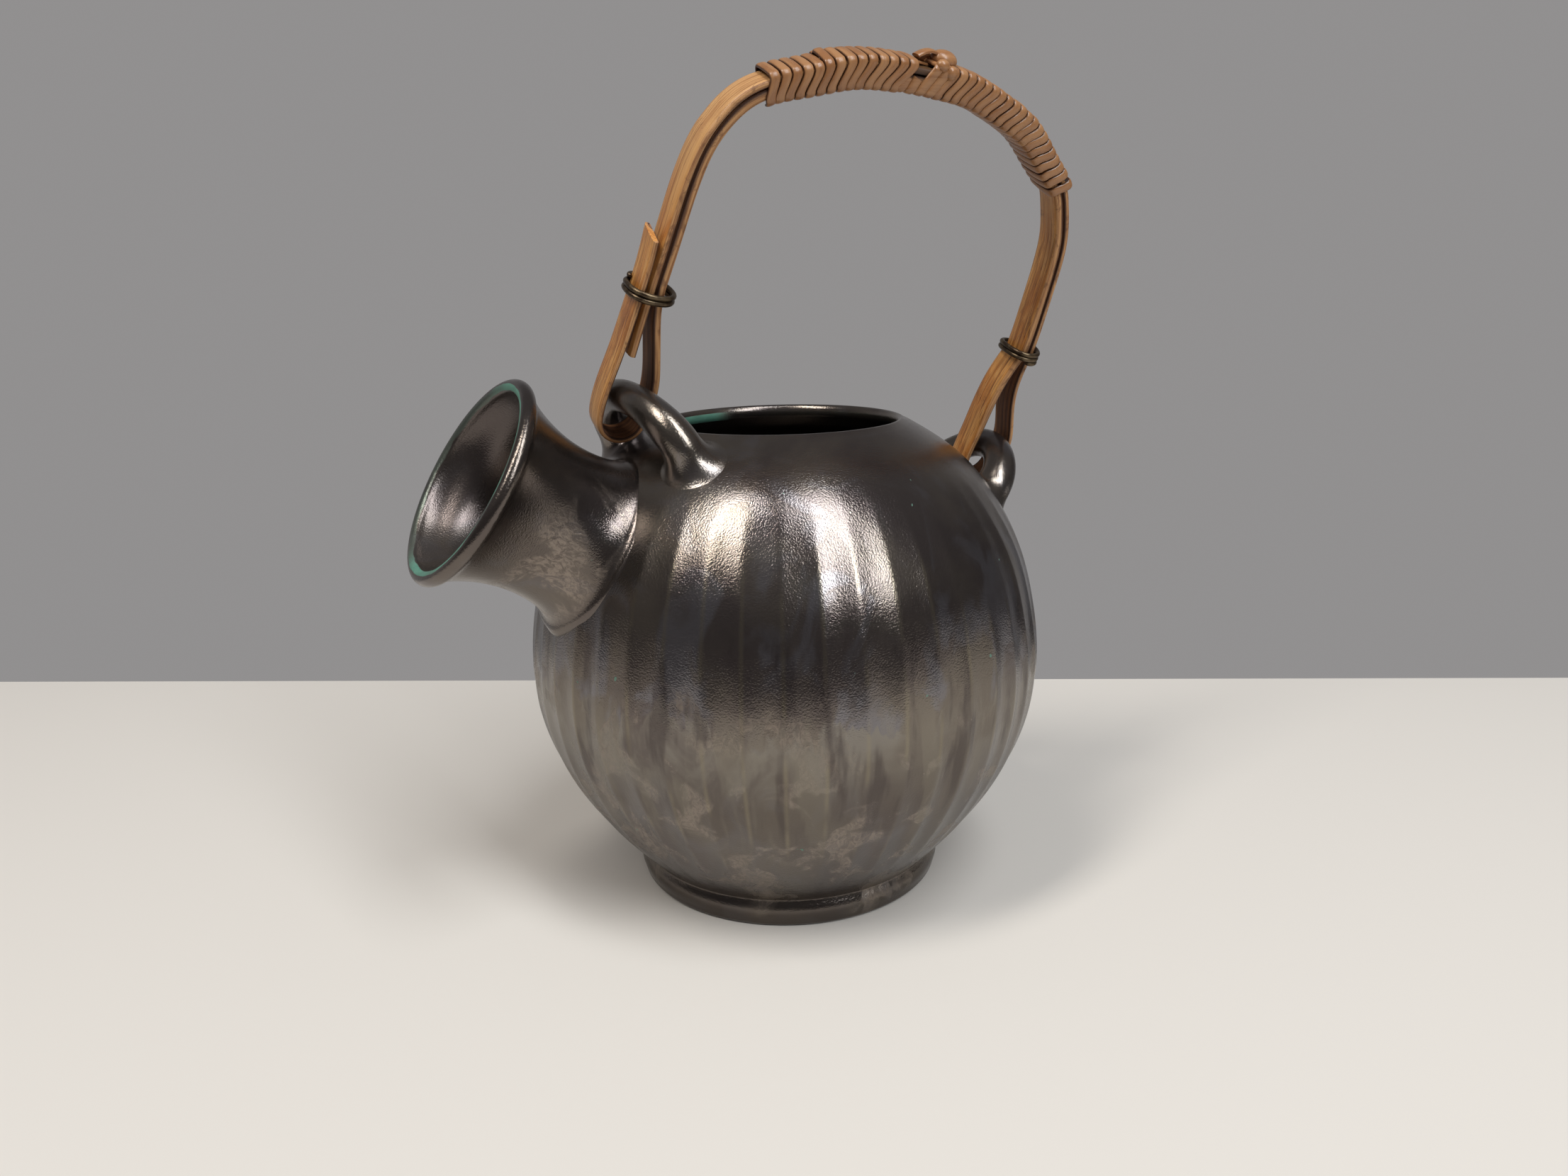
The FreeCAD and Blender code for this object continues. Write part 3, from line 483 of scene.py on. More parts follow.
# Bail: X along the line through both bars, Z up, Y across
BAIL_SLOPE = atan2(FRONT_BAR.z - REAR_BAR.z, REAR_BAR.x - FRONT_BAR.x)
BAIL = (Matrix.Translation(FRONT_BAR * MM) @ Matrix.Rotation(BAIL_SLOPE, 4, "Y")
        @ Matrix.Rotation(radians(BAIL_LEAN), 4, "X"))
# Skin line of the outer layer as (share of the span, share of the rise)
ARCH_SHARES = [
    (-0.0224, 0.323), (-0.0181, 0.470), (-0.0164, 0.549), (-0.0121, 0.622), (-0.0009, 0.698),
    (0.0224, 0.767), (0.0534, 0.822), (0.0921, 0.861), (0.1730, 0.909), (0.2616, 0.959),
    (0.3614, 0.986), (0.4475, 0.997), (0.5447, 1.000), (0.6462, 0.976), (0.7383, 0.938),
    (0.8226, 0.871), (0.8846, 0.817), (0.9130, 0.767), (0.9500, 0.678), (0.9681, 0.591),
    (0.9810, 0.493), (0.9965, 0.348), (0.9980, 0.325),
]
ARCH = Spline([(SPAN * across, 0, BAIL_RISE * up) for across, up in ARCH_SHARES])
# Thickness of the strip outside, inside and at the bends, and the gap between its layers
OUTER, INNER, BEND, GAP = 1.75, 2.4, 1.5, 0.3
STACK = OUTER + GAP + INNER
STRIP_WIDTH = 8.3
STRIP_STEP = 0.9
WIRE_HEIGHT = 27.6
REAR_WIRE_HEIGHT = 30.0
# Loops' pith lines as (share of the loop's half width, share of the wire's height)
FRONT_COMING = [(0.00, 0.87), (0.35, 0.62), (0.65, 0.43), (0.95, 0.22)]
FRONT_LEAVING = [(-0.95, 0.22), (-0.84, 0.43), (-0.74, 0.72), (-0.67, 1.00), (-0.64, 1.27)]
REAR_COMING = [(-0.20, 0.70), (0.48, 0.33), (0.93, 0.12)]
REAR_LEAVING = [(-0.97, 0.12), (-0.93, 0.43), (-0.80, 0.76)]
FRONT_LOOP_HALF = BAR + 0.85
FRONT_LOOP_FALL = 9.9
REAR_LOOP_HALF = BAR + 1.45
REAR_LOOP_FALL = 10.9
REAR_LOOP_BACK = 0.35
# Shares of a loop between which the strip thins to the bend and thickens again
LOOP_THINS = (0.24, 0.42)
LOOP_THICKENS = (0.62, 0.80)
END_HEIGHT = 12.0
END_STEPS = 18
TIP_ACROSS = -0.69
TIP_HEIGHT = 41.2
TIP_SLANT = 0.95
TIP_STATIONS = 12
# Half section of the strip as (share of the half width, share of the thickness), pith side first
STRIP_SECTION = [
    (-0.86, 0.00), (-0.6, 0.0), (0.0, 0.0), (0.6, 0.0), (0.86, 0.00), (0.97, 0.12), (1.00, 0.35),
    (1.00, 0.60), (0.965, 0.77), (0.88, 0.88), (0.74, 0.95), (0.50, 0.985), (0.25, 0.997), (0.0, 1.0),
    (-0.25, 0.997), (-0.50, 0.985), (-0.74, 0.95), (-0.88, 0.88), (-0.965, 0.77), (-1.00, 0.60),
    (-1.00, 0.35), (-0.97, 0.12),
]
EDGE_RAGGED = 0.10
NODES_AT = (57.0, 171.0)
NODE_HALF_LENGTH = 1.6
NODE_HOLLOW = 0.05
SKIN_UNEVEN = 0.012


def arch_frame(distance):
    """Point on the skin line, its heading and the way in."""
    point, heading = ARCH.at(distance)
    return point, heading, Vector((heading.z, 0, -heading.x))


def loop_curve(bar, half, fall, start, coming, leaving, end):
    """Pith line down to a lug's bar, round under it and up again."""
    points = [start]
    points += [Vector((bar + half * across, 0, WIRE_HEIGHT * up)) for across, up in coming]
    for step in range(7):
        a = pi * step / 6
        points.append(Vector((bar + half * cos(a), 0, half - fall - half * sin(a))))
    points += [Vector((bar + half * across, 0, WIRE_HEIGHT * up)) for across, up in leaving]
    points.append(end)
    return Spline(points, 400)


def loop_stations(curve, coming, leaving):
    """Stations (pith point, way to the skin, thickness) along a loop."""
    count = int(curve.length / STRIP_STEP)
    stations = []
    for i in range(1, count):
        share = i / count
        point, heading = curve.at(curve.length * share)
        if share < LOOP_THINS[1]:
            thick = coming + (BEND - coming) * smoothstep(*LOOP_THINS, share)
        else:
            thick = BEND + (leaving - BEND) * smoothstep(*LOOP_THICKENS, share)
        stations.append((point, Vector((-heading.z, 0, heading.x)), thick))
    return stations


def strip_stations():
    """The whole bamboo strip as (pith point, way to the skin, thickness)."""
    stations = []
    begin, _, begin_in = arch_frame(0)
    low = Vector((begin.x - GAP, 0, END_HEIGHT))
    for i in range(END_STEPS):
        point = low.lerp(begin, i / END_STEPS)
        stations.append((point + Vector((OUTER, 0, 0)), Vector((-1, 0, 0)), OUTER))
    count = int(ARCH.length / STRIP_STEP)
    for i in range(count + 1):
        point, _, inward = arch_frame(ARCH.length * i / count)
        stations.append((point + inward * OUTER, -inward, OUTER))
    end, _, end_in = arch_frame(ARCH.length)
    rear = loop_curve(SPAN - REAR_LOOP_BACK, REAR_LOOP_HALF, REAR_LOOP_FALL, end + end_in * OUTER,
                      REAR_COMING, REAR_LEAVING, end + end_in * (OUTER + GAP))
    stations += loop_stations(rear, OUTER, INNER)
    for i in range(count, -1, -1):
        point, _, inward = arch_frame(ARCH.length * i / count)
        stations.append((point + inward * (OUTER + GAP), inward, INNER))
    tip = Vector((FRONT_LOOP_HALF * TIP_ACROSS, 0, TIP_HEIGHT))
    front = loop_curve(0, FRONT_LOOP_HALF, FRONT_LOOP_FALL, begin + begin_in * (OUTER + GAP),
                       FRONT_COMING, FRONT_LEAVING, tip)
    stations += loop_stations(front, INNER, BEND)
    stations.append((tip, Vector((-1, 0, 0)), BEND))
    return stations


def strip_piece():
    """Split bamboo with a crowned skin, ragged cut edges and a slanting free end."""
    half = STRIP_WIDTH / 2
    stations = strip_stations()
    rings, lengths = [], []
    run, before = 0.0, stations[0][0]
    last = len(stations) - 1
    for number, (pith, way, thick) in enumerate(stations):
        run += (pith - before).length
        before = pith
        slant = TIP_SLANT * smoothstep(last + 1 - TIP_STATIONS, last, number)
        edge_a = EDGE_RAGGED * noise.noise(Vector((run * 0.09, 1.7, 0)))
        edge_b = EDGE_RAGGED * noise.noise(Vector((run * 0.09, 9.2, 0)))
        node = sum(exp(-((run - at) / NODE_HALF_LENGTH) ** 2) for at in NODES_AT)
        ring = []
        for across, up in STRIP_SECTION:
            crown = 1 + SKIN_UNEVEN * noise.noise(Vector((run * 0.06, across, 3)))
            crown -= NODE_HOLLOW * node if up > 0.5 else 0
            wide = half * across - (edge_a if across > 0.9 else 0) + (edge_b if across < -0.9 else 0)
            ring.append(pith + way * (thick * up * crown) + Vector((0, wide, slant * across)))
        rings.append(ring)
        lengths.append(run)
    return skin("bamboo_strip_visual", rings, lengths, place=BAIL, sharp=38)


# Binding wires
WIRE_RADIUS = 0.68
WIRE_SIDES = 14
WIRE_TURNS = 2.35
WIRE_STEPS = 40
WIRE_OFF_FLAT = 1.9
WIRE_OFF_EDGE = 1.95
WIRE_SQUARENESS = 0.86
WIRE_TUCK = 0.10
WIRE_TUCK_STEPS = 5
WIRE_WAVE = 0.10
WIRE_ENDS = (0.55, 0.9)


def tube(name, line, radius, sides, place):
    """Round tube along a line of points with a steady frame, thinner at its very ends."""
    rings = []
    up = None
    for i, point in enumerate(line):
        heading = way_at(line, i)
        if up is None:
            up = heading.orthogonal().normalized()
        up = (up - heading * up.dot(heading)).normalized()
        other = heading.cross(up)
        near = min(i, len(line) - 1 - i)
        r = radius * (WIRE_ENDS[near] if near < len(WIRE_ENDS) else 1)
        rings.append([point + up * x + other * y for x, y, _ in round_ring(r, 0, sides)])
    return skin(name, rings, place=place)


def wire_piece(name, height, low, distance, pitch, start_turn, loose):
    """Binding wire: touching turns round the strip, its ends tucked in, standing off by loose inside."""
    point, heading, inward = arch_frame(distance)
    point = point + heading * ((height - point.z) / heading.z)
    centre = point + inward * ((low + STACK) / 2 + loose)
    deep = (STACK - low) / 2 + WIRE_OFF_FLAT + loose
    wide = STRIP_WIDTH / 2 + WIRE_OFF_EDGE
    line = []
    steps = int(WIRE_TURNS * WIRE_STEPS)
    for i in range(steps + 1):
        a = 2 * pi * (start_turn + WIRE_TURNS * i / steps)
        c, s = cos(a), sin(a)
        x = deep * copysign(abs(c) ** WIRE_SQUARENESS, c)
        y = wide * copysign(abs(s) ** WIRE_SQUARENESS, s)
        end = min(i, steps - i) / WIRE_TUCK_STEPS
        tuck = 1 - WIRE_TUCK * (1 - min(end, 1)) ** 2
        lift = pitch * WIRE_TURNS * (i / steps - 0.5) + WIRE_WAVE * sin(a * 2 + height)
        line.append(centre + inward * (x * tuck) + Vector((0, y * tuck, 0)) + heading * lift)
    return tube(name, line, WIRE_RADIUS, WIRE_SIDES, BAIL)


# Rattan: one turn passes four corners as (side across, side deep)
RATTAN_PITCH = 2.62
RATTAN_WIDE = 2.44
RATTAN_THICK = 0.75
CORNERS = [(-1, 1), (-1, -1), (1, -1), (1, 1)]
RATTAN_SECTION = [
    (-0.97, -0.5), (0.97, -0.5), (1.0, -0.2), (0.93, 0.14), (0.72, 0.36), (0.38, 0.47), (0.0, 0.5),
    (-0.38, 0.47), (-0.72, 0.36), (-0.93, 0.14), (-1.0, -0.2),
]
CORNER = 1.25
CORNER_STEPS = 5
PASS_STEPS = 7
WRAP_OFF_EDGE = 0.02
WRAP_OFF_INSIDE = 0.1
WRAP_SHAKE = 0.035
WRAP_PUFF = (0.02, 0.11)
WRAP_SWELL = 0.10
LAY_THICK = 0.5
LAY_HALF_WIDE = 0.95
LAY_SPARE = 0.24
LAY_OFF = 0.12
LAY_STEP = 1.2
LAY_SECTION = [(-1, 0), (1, 0), (1, 0.5), (0.75, 0.85), (0.35, 1.0), (-0.35, 1.0), (-0.75, 0.85), (-1, 0.5)]
# In the gap beside the knot the lay strand lifts and steps to the near side
LAY_LIFT = 0.45
LAY_ASIDE = 2.1
LAY_ASIDE_LENGTH = 2.6


def wrap_piece(name, start, turns, seed, slants, lifts, apart, full):
    """Split rattan wound side by side round both layers and the lay strand.

    slants is how many pitches the near side climbs in the first and last turn, lifts raises the
    far end of some turns' top pass, apart sets the last turn off from the others, and full is how
    much deeper the first and last turns reach on the inside."""
    local = random.Random(seed)
    half_wide = STRIP_WIDTH / 2 + WRAP_OFF_EDGE + RATTAN_THICK / 2
    high = -(LAY_THICK + LAY_SPARE + RATTAN_THICK / 2)
    deep = STACK + WRAP_OFF_INSIDE + RATTAN_THICK / 2
    shakes = [local.uniform(-WRAP_SHAKE, WRAP_SHAKE) for _ in range(turns + 2)]
    puffs = [local.uniform(*WRAP_PUFF) for _ in range(turns + 2)]

    def corner(turn, quarter):
        """Share of the turns at a corner, its depth, its place across the core, and its lift."""
        slant = slants[0] + (slants[1] - slants[0]) * min(turn / turns, 1.0)
        shares = (0.0, slant, slant + 0.06, 0.55 * slant + 0.35)
        across, side = CORNERS[quarter]
        fuller = full[0] + (full[1] - full[0]) * smoothstep(0.0, 1.0, turn / turns)
        depth = (deep + fuller - CORNER) if side > 0 else (high + CORNER)
        lift = lifts.get(turn, 0.0) * (0, 0.25, 1, 0)[quarter]
        shift = turn + shares[quarter] - slant / 2 + shakes[turn]
        if turn == turns:
            shift += apart
        return shift, depth, across * (half_wide - CORNER), lift

    rings, lengths = [], []
    run, last = 0.0, None
    for number in range(turns * 4 + 3):
        turn, quarter = divmod(number, 4)
        here = corner(turn, quarter)
        after = corner(turn + (quarter == 3), (quarter + 1) % 4)
        for kind in range(CORNER_STEPS + 1 + PASS_STEPS):
            bent = min(kind / CORNER_STEPS, 1.0)
            glide = max(kind - CORNER_STEPS, 0) / (PASS_STEPS + 1)
            eased = glide * glide * (3 - 2 * glide) * 0.4 + glide * 0.6
            shift = here[0] + (after[0] - here[0]) * eased
            point, heading, inward = arch_frame(start + RATTAN_PITCH * shift)
            a = pi / 2 * (quarter + bent)
            out_deep, out_wide = cos(a), -sin(a)
            swell = CORNER + sin(pi * glide) * (WRAP_SWELL + puffs[turn])
            if quarter in (1, 2):
                lift = here[3] * bent + (after[3] - here[3]) * glide
            else:
                lift = here[3] * (1 - glide)
            depth = here[1] + (after[1] - here[1]) * glide + swell * out_deep - lift
            wide = here[2] + (after[2] - here[2]) * glide + swell * out_wide
            centre = point + inward * depth + Vector((0, wide, 0))
            out = (inward * out_deep + Vector((0, out_wide, 0))).normalized()
            if last is not None:
                run += (centre - last).length
            last = centre
            rings.append([centre + heading * (RATTAN_WIDE / 2 * u) + out * (RATTAN_THICK * v)
                          for u, v in RATTAN_SECTION])
            lengths.append(run)
    return skin(name, rings, lengths, place=BAIL, sharp=55)


def lay_piece(name, start, end, gap):
    """Flat strand along the skin that the wraps hold down, stepping aside where the gap shows it."""
    rings = []
    count = int((end - start) / LAY_STEP)
    for i in range(count + 1):
        distance = start + (end - start) * i / count
        point, _, inward = arch_frame(distance)
        aside = exp(-((distance - gap) / LAY_ASIDE_LENGTH) ** 2)
        centre = point - inward * (LAY_OFF + LAY_LIFT * aside) - Vector((0, LAY_ASIDE * aside, 0))
        rings.append([centre + Vector((0, LAY_HALF_WIDE * u, 0)) - inward * (LAY_THICK * v)
                      for u, v in LAY_SECTION])
    return skin(name, rings, place=BAIL, sharp=50)


# Knot: X along the grip, Y across it and Z outwards, from the strip's skin
KNOT_BANDS = (-5.9, -3.2, -0.5, 2.2)
SHORT_BANDS = (-5.9, -3.2)
SHORT_END = (0.9, 0.15, 2.3)
KNOT_BAND_HALF = 1.25
STRAP_HALF = 1.35
KNOT_CORNER = 1.1
BAND_STEPS = 4
KNOT_LEAN = 0.55
KNOT_WIDE = STRIP_WIDTH / 2 + 0.12
KNOT_HIGH = LAY_THICK + LAY_SPARE
KNOT_DEEP = STACK + 1.12
STRAP_SECTION = [(-0.97, -0.5), (0.97, -0.5), (1.0, -0.1), (0.85, 0.28), (0.5, 0.46), (0.0, 0.5),
                 (-0.5, 0.46), (-0.85, 0.28), (-1.0, -0.1)]
STRAP_STEPS = 16
STRAP_START = (-5.6, -0.9)
STRAP_REACH = (8.6, 1.6)
STRAP_ARCH = 2.25
# Beads as (middle, its height counted from the bands' inside; half sizes)
KNOT_BEADS = [
    ((-1.4, 1.7, 0.75), (3.2, 0.8, 1.1)),
    ((2.7, 0.0, 1.15), (3.5, 3.0, 2.25)),
    ((0.4, -4.02, 0.40), (1.75, 1.45, 1.45)),
    ((3.1, -4.42, -0.8), (1.6, 1.2, 1.6)),
]
BEAD_UP = 14
BEAD_AROUND = 20


def bead(place, half_sizes):
    """Rounded lump as (vertices, faces)."""
    verts = []
    for i in range(BEAD_UP + 1):
        rise = pi * (i / BEAD_UP - 0.5)
        for k in range(BEAD_AROUND):
            a = 2 * pi * k / BEAD_AROUND
            way = (cos(rise) * cos(a), cos(rise) * sin(a), sin(rise))
            verts.append(place + Vector([size * share for size, share in zip(half_sizes, way)]))
    return verts, quads(BEAD_UP + 1, BEAD_AROUND)


def strap(line, outs, half):
    """Flat strand along a line as (vertices, faces); outs gives the way its skin faces."""
    verts = []
    for i, (p, out) in enumerate(zip(line, outs)):
        across = way_at(line, i).cross(out).normalized()
        verts += [p + across * (half * a) + out * (RATTAN_THICK * b) for a, b in STRAP_SECTION]
    count = len(STRAP_SECTION)
    return verts, quads(len(line), count) + caps(len(line), count)


def knot_band(shift):
    """Line of a band round the core and its outward ways; a short one only goes below."""
    short = shift in SHORT_BANDS
    line, outs = [], []
    for quarter, (side, above) in enumerate(((-1, 1), (1, 1), (1, -1), (-1, -1))):
        if short and quarter < 2:
            continue
        y = side * (KNOT_WIDE + RATTAN_THICK / 2 - KNOT_CORNER)
        z = (KNOT_HIGH if above > 0 else -KNOT_DEEP) + above * (RATTAN_THICK / 2 - KNOT_CORNER)
        for step in range(BAND_STEPS + 1):
            a = radians(90 * (quarter - 1) + 90 * step / BAND_STEPS)
            out_y, out_z = sin(a), cos(a)
            lean = KNOT_LEAN * (z + KNOT_CORNER * out_z - KNOT_HIGH) * -side
            line.append(Vector((shift + lean, y + KNOT_CORNER * out_y, z + KNOT_CORNER * out_z)))
            outs.append(Vector((0, out_y, out_z)))
    if short:
        return line + [line[-1] + Vector(SHORT_END)], outs + [outs[-1]]
    return line + [line[0]], outs + [outs[0]]


def knot_strap():
    """Line of the strap from the front wrap, arched over the lay strand and into the big bead."""
    line = []
    for i in range(STRAP_STEPS + 1):
        s = i / STRAP_STEPS
        arch = STRAP_ARCH * sin(pi * (0.10 + 0.82 * s))
        line.append(Vector((STRAP_START[0] + STRAP_REACH[0] * s, STRAP_START[1] + STRAP_REACH[1] * s,
                            KNOT_HIGH + RATTAN_THICK * 0.5 + arch)))
    ways = [way_at(line, i) for i in range(len(line))]
    return line, [Vector((-way.z, 0, way.x)).normalized() for way in ways]


def knot_piece(name, distance):
    """Knot of the rattan's ends: bands round the core, a strap over them and beads."""
    point, heading, inward = arch_frame(distance)
    turned = Matrix((heading, Vector((0, 1, 0)), -inward)).transposed()
    lumps = [strap(*knot_band(shift), KNOT_BAND_HALF) for shift in KNOT_BANDS]
    lumps.append(strap(*knot_strap(), STRAP_HALF))
    for (x, y, z), half_sizes in KNOT_BEADS:
        lumps.append(bead(Vector((x, y, KNOT_HIGH + z)), half_sizes))
    verts, faces = [], []
    for more, sides in lumps:
        base = len(verts)
        verts += [point + turned @ v for v in more]
        faces += [tuple(i + base for i in face) for face in sides]
    return new_mesh(name, verts, faces, None, BAIL, 50)


# Where the windings lie along the skin line
FRONT_TURNS = 13
REAR_TURNS = 19
FRONT_FROM = ARCH.where_x(11.5)
REAR_FROM = ARCH.where_x(56.2)
REAR_EARLIER = 1.0
KNOT_AT = REAR_FROM - 3.7
LAY_FROM = FRONT_FROM + 1
LAY_TO = REAR_FROM + RATTAN_PITCH * 18
LAY_GAP_AT = FRONT_FROM + 37.0
# The strip's own length at the gap beside the knot, where its skin is painted dark as shade
SHADED_GAP_FROM = 18.0 + FRONT_FROM + 34.0
SHADED_GAP_TO = 18.0 + REAR_FROM - 1.0
# Length round the strip's section at the ends of its pith and of its skin
AROUND_STRIP = [0.0]
for (across_a, up_a), (across_b, up_b) in zip(STRIP_SECTION, STRIP_SECTION[1:]):
    AROUND_STRIP.append(AROUND_STRIP[-1] + hypot((across_b - across_a) * STRIP_WIDTH / 2,
                                                      (up_b - up_a) * OUTER))
PITH_TO = AROUND_STRIP[4]
SKIN_FROM = AROUND_STRIP[9]
SKIN_TO = AROUND_STRIP[17]
# Middle of the rattan's skin, measured round its section
RATTAN_AROUND = RATTAN_WIDE * 0.97 + RATTAN_THICK * 0.6 + RATTAN_WIDE / 2


# Materials
class Nodes:
    """Short way to write a node tree."""

    def __init__(self, tree):
        self.tree = tree

    def node(self, kind, inputs=(), **settings):
        made = self.tree.nodes.new(kind)
        for key, value in settings.items():
            setattr(made, key, value)
        for key, value in dict(inputs).items():
            self.feed(value, made.inputs[key])
        return made

    def feed(self, value, socket):
        if isinstance(value, bpy.types.NodeSocket):
            self.tree.links.new(value, socket)
        else:
            socket.default_value = value

    def out(self, kind, inputs=(), **settings):
        """The first output of a new node."""
        return self.node(kind, inputs, **settings).outputs[0]

    def math(self, operation, a, b=0.0):
        return self.out("ShaderNodeMath", {0: a, 1: b}, operation=operation)

    def times(self, a, b):
        return self.math("MULTIPLY", a, b)

    def plus(self, a, b):
        return self.math("ADD", a, b)

    def minus(self, a, b):
        return self.math("SUBTRACT", a, b)

    def dot(self, vector, way):
        made = self.node("ShaderNodeVectorMath", {0: vector, 1: way}, operation="DOT_PRODUCT")
        return made.outputs["Value"]

    def split(self, vector):
        return self.node("ShaderNodeSeparateXYZ", {"Vector": vector}).outputs

    def step(self, value, low, high, a=0.0, b=1.0):
        """From a to b as the value passes from low to high."""
        inputs = {"Value": value, "From Min": low, "From Max": high, "To Min": a, "To Max": b}
        return self.out("ShaderNodeMapRange", inputs, interpolation_type="SMOOTHSTEP")

    def band(self, value, low, high, soft):
        """1 between low and high, falling to 0 over soft on each side."""
        return self.times(self.step(value, low - soft, low), self.step(value, high, high + soft, 1.0, 0.0))

    def mix(self, share, a, b):
        a, b = [(*c, 1.0) if isinstance(c, tuple) else c for c in (a, b)]
        return self.node("ShaderNodeMix", {0: share, 6: a, 7: b}, data_type="RGBA").outputs[2]

    def lay(self, under, color, share, strength):
        """A color laid over another, as strong as share times strength."""
        return self.mix(self.times(share, strength), under, color)


class Net(Nodes):
    """A new material's nodes."""

    def __init__(self, name):
        self.material = bpy.data.materials.new(name)
        self.material.use_nodes = True
        super().__init__(self.material.node_tree)
        self.shader = self.tree.nodes["Principled BSDF"]

    def object_place(self):
        return self.node("ShaderNodeTexCoord").outputs["Object"]

    def place_in(self, matrix):
        """Object coordinates as seen from a placed part."""
        back = matrix.inverted()
        return self.out("ShaderNodeMapping", {"Vector": self.object_place(), "Location": back.translation,
                                              "Rotation": back.to_euler()})

    def along_place(self):
        return self.node("ShaderNodeUVMap", uv_map="Along").outputs["UV"]

    def scaled(self, vector, scale, move=(0, 0, 0)):
        return self.out("ShaderNodeMapping", {"Vector": vector, "Scale": scale, "Location": move})

    def noise(self, vector, scale, detail=3.0, rough=0.5, twist=0.0):
        return self.out("ShaderNodeTexNoise", {"Vector": vector, "Scale": scale, "Detail": detail,
                                               "Roughness": rough, "Distortion": twist})

    def drawn(self, uv, stretch, detail, rough, twist=0.0, move=(0, 0, 0)):
        """Noise drawn out along a strip; stretch is its scale along and around, per mm."""
        return self.noise(self.scaled(uv, (*stretch, 1), move), 1.0, detail, rough, twist)

    def bump(self, height, strength, distance, under=None):
        inputs = {"Height": height, "Strength": strength, "Distance": distance}
        if under is not None:
            inputs["Normal"] = under
        return self.out("ShaderNodeBump", inputs)

    def finish(self, **inputs):
        for key, value in inputs.items():
            self.feed((*value, 1.0) if isinstance(value, tuple) else value,
                      self.shader.inputs[key.replace("_", " ")])
        return self.material


GLAZE_DARK = (0.128, 0.108, 0.103)
GLAZE_WARM = (0.185, 0.160, 0.135)
GLAZE_COOL = (0.200, 0.191, 0.202)
GLAZE_PALE = (0.300, 0.252, 0.212)
SPOUT_TOP_DARK = (0.085, 0.070, 0.066)
FLAME = (0.250, 0.225, 0.185)
TONGUE = (0.250, 0.228, 0.195)
SOOT = (0.085, 0.070, 0.068)
# Painted shade for the lower body and the foot
PAINTED_LOW_SHADE = (0.085, 0.072, 0.062)
RIDGE = (0.27, 0.235, 0.165)
SPECK = (0.42, 0.38, 0.32)
VERDIGRIS_DARK = (0.06, 0.17, 0.13)
VERDIGRIS_PALE = (0.13, 0.31, 0.23)
# Heights in metres, as low, high and softness
COOL_AT = (0.066, 0.092, 0.014)
FLAMES_AT = (0.040, 0.058, 0.016)
TONGUES_AT = (0.056, 0.080, 0.016)
SOOT_AT = (0.040, 0.080, 0.012)
RIDGES_AT = (0.030, 0.098, 0.010)
SPOUT_PATCH_AT = (-0.031, -0.018, 0.006)
PATCH_SOFT = 0.014
RIM_SOFT = 0.00018
RIM_HEIGHT_SOFT = 0.0003


def flute_marks(net, base, patch, drift, place, x, y, z):
    """Flames, tongues, soot and worn ridges, which follow the pot's flutes, and painted shade that darkens
    the lower body and, most, the foot.
    """
    turn = net.times(net.math("ARCTAN2", y, x), FLUTES / (2 * pi))
    unrolled = net.out("ShaderNodeCombineXYZ", {"X": net.times(turn, 1.3), "Y": net.times(z, 26)})
    stripe = net.noise(unrolled, 1.0, 3, 0.55)
    base = net.lay(base, FLAME, net.times(net.step(stripe, 0.51, 0.60), net.band(z, *FLAMES_AT)), 0.60)
    tongue = net.plus(z, net.times(net.minus(stripe, 0.5), 0.045))
    tongue = net.times(net.step(tongue, 0.0652, 0.0638), net.band(z, *TONGUES_AT))
    base = net.lay(base, TONGUE, tongue, net.step(drift, 0.40, 0.60, 0.15, 0.75))
    base = net.lay(base, SOOT, net.times(net.step(stripe, 0.47, 0.36), net.band(z, *SOOT_AT)), 0.70)
    # Painted shade: the lower body and, more deeply, the foot are darkened, less where the pale patches
    # lie.
    low_shade = net.plus(net.step(z, 0.068, 0.040, 0.0, 0.50), net.step(z, 0.011, 0.009, 0.0, 0.25))
    base = net.mix(net.times(low_shade, net.minus(1.0, net.times(patch, 0.65))), base, PAINTED_LOW_SHADE)
    ridge = net.step(net.math("ABSOLUTE", net.math("PINGPONG", turn, 0.5)), 0.10, 0.0)
    ridge = net.times(ridge, net.step(net.noise(place, 60, 2, 0.5), 0.42, 0.62, 0.0, 0.40))
    return net.mix(net.times(ridge, net.band(z, *RIDGES_AT)), base, RIDGE)


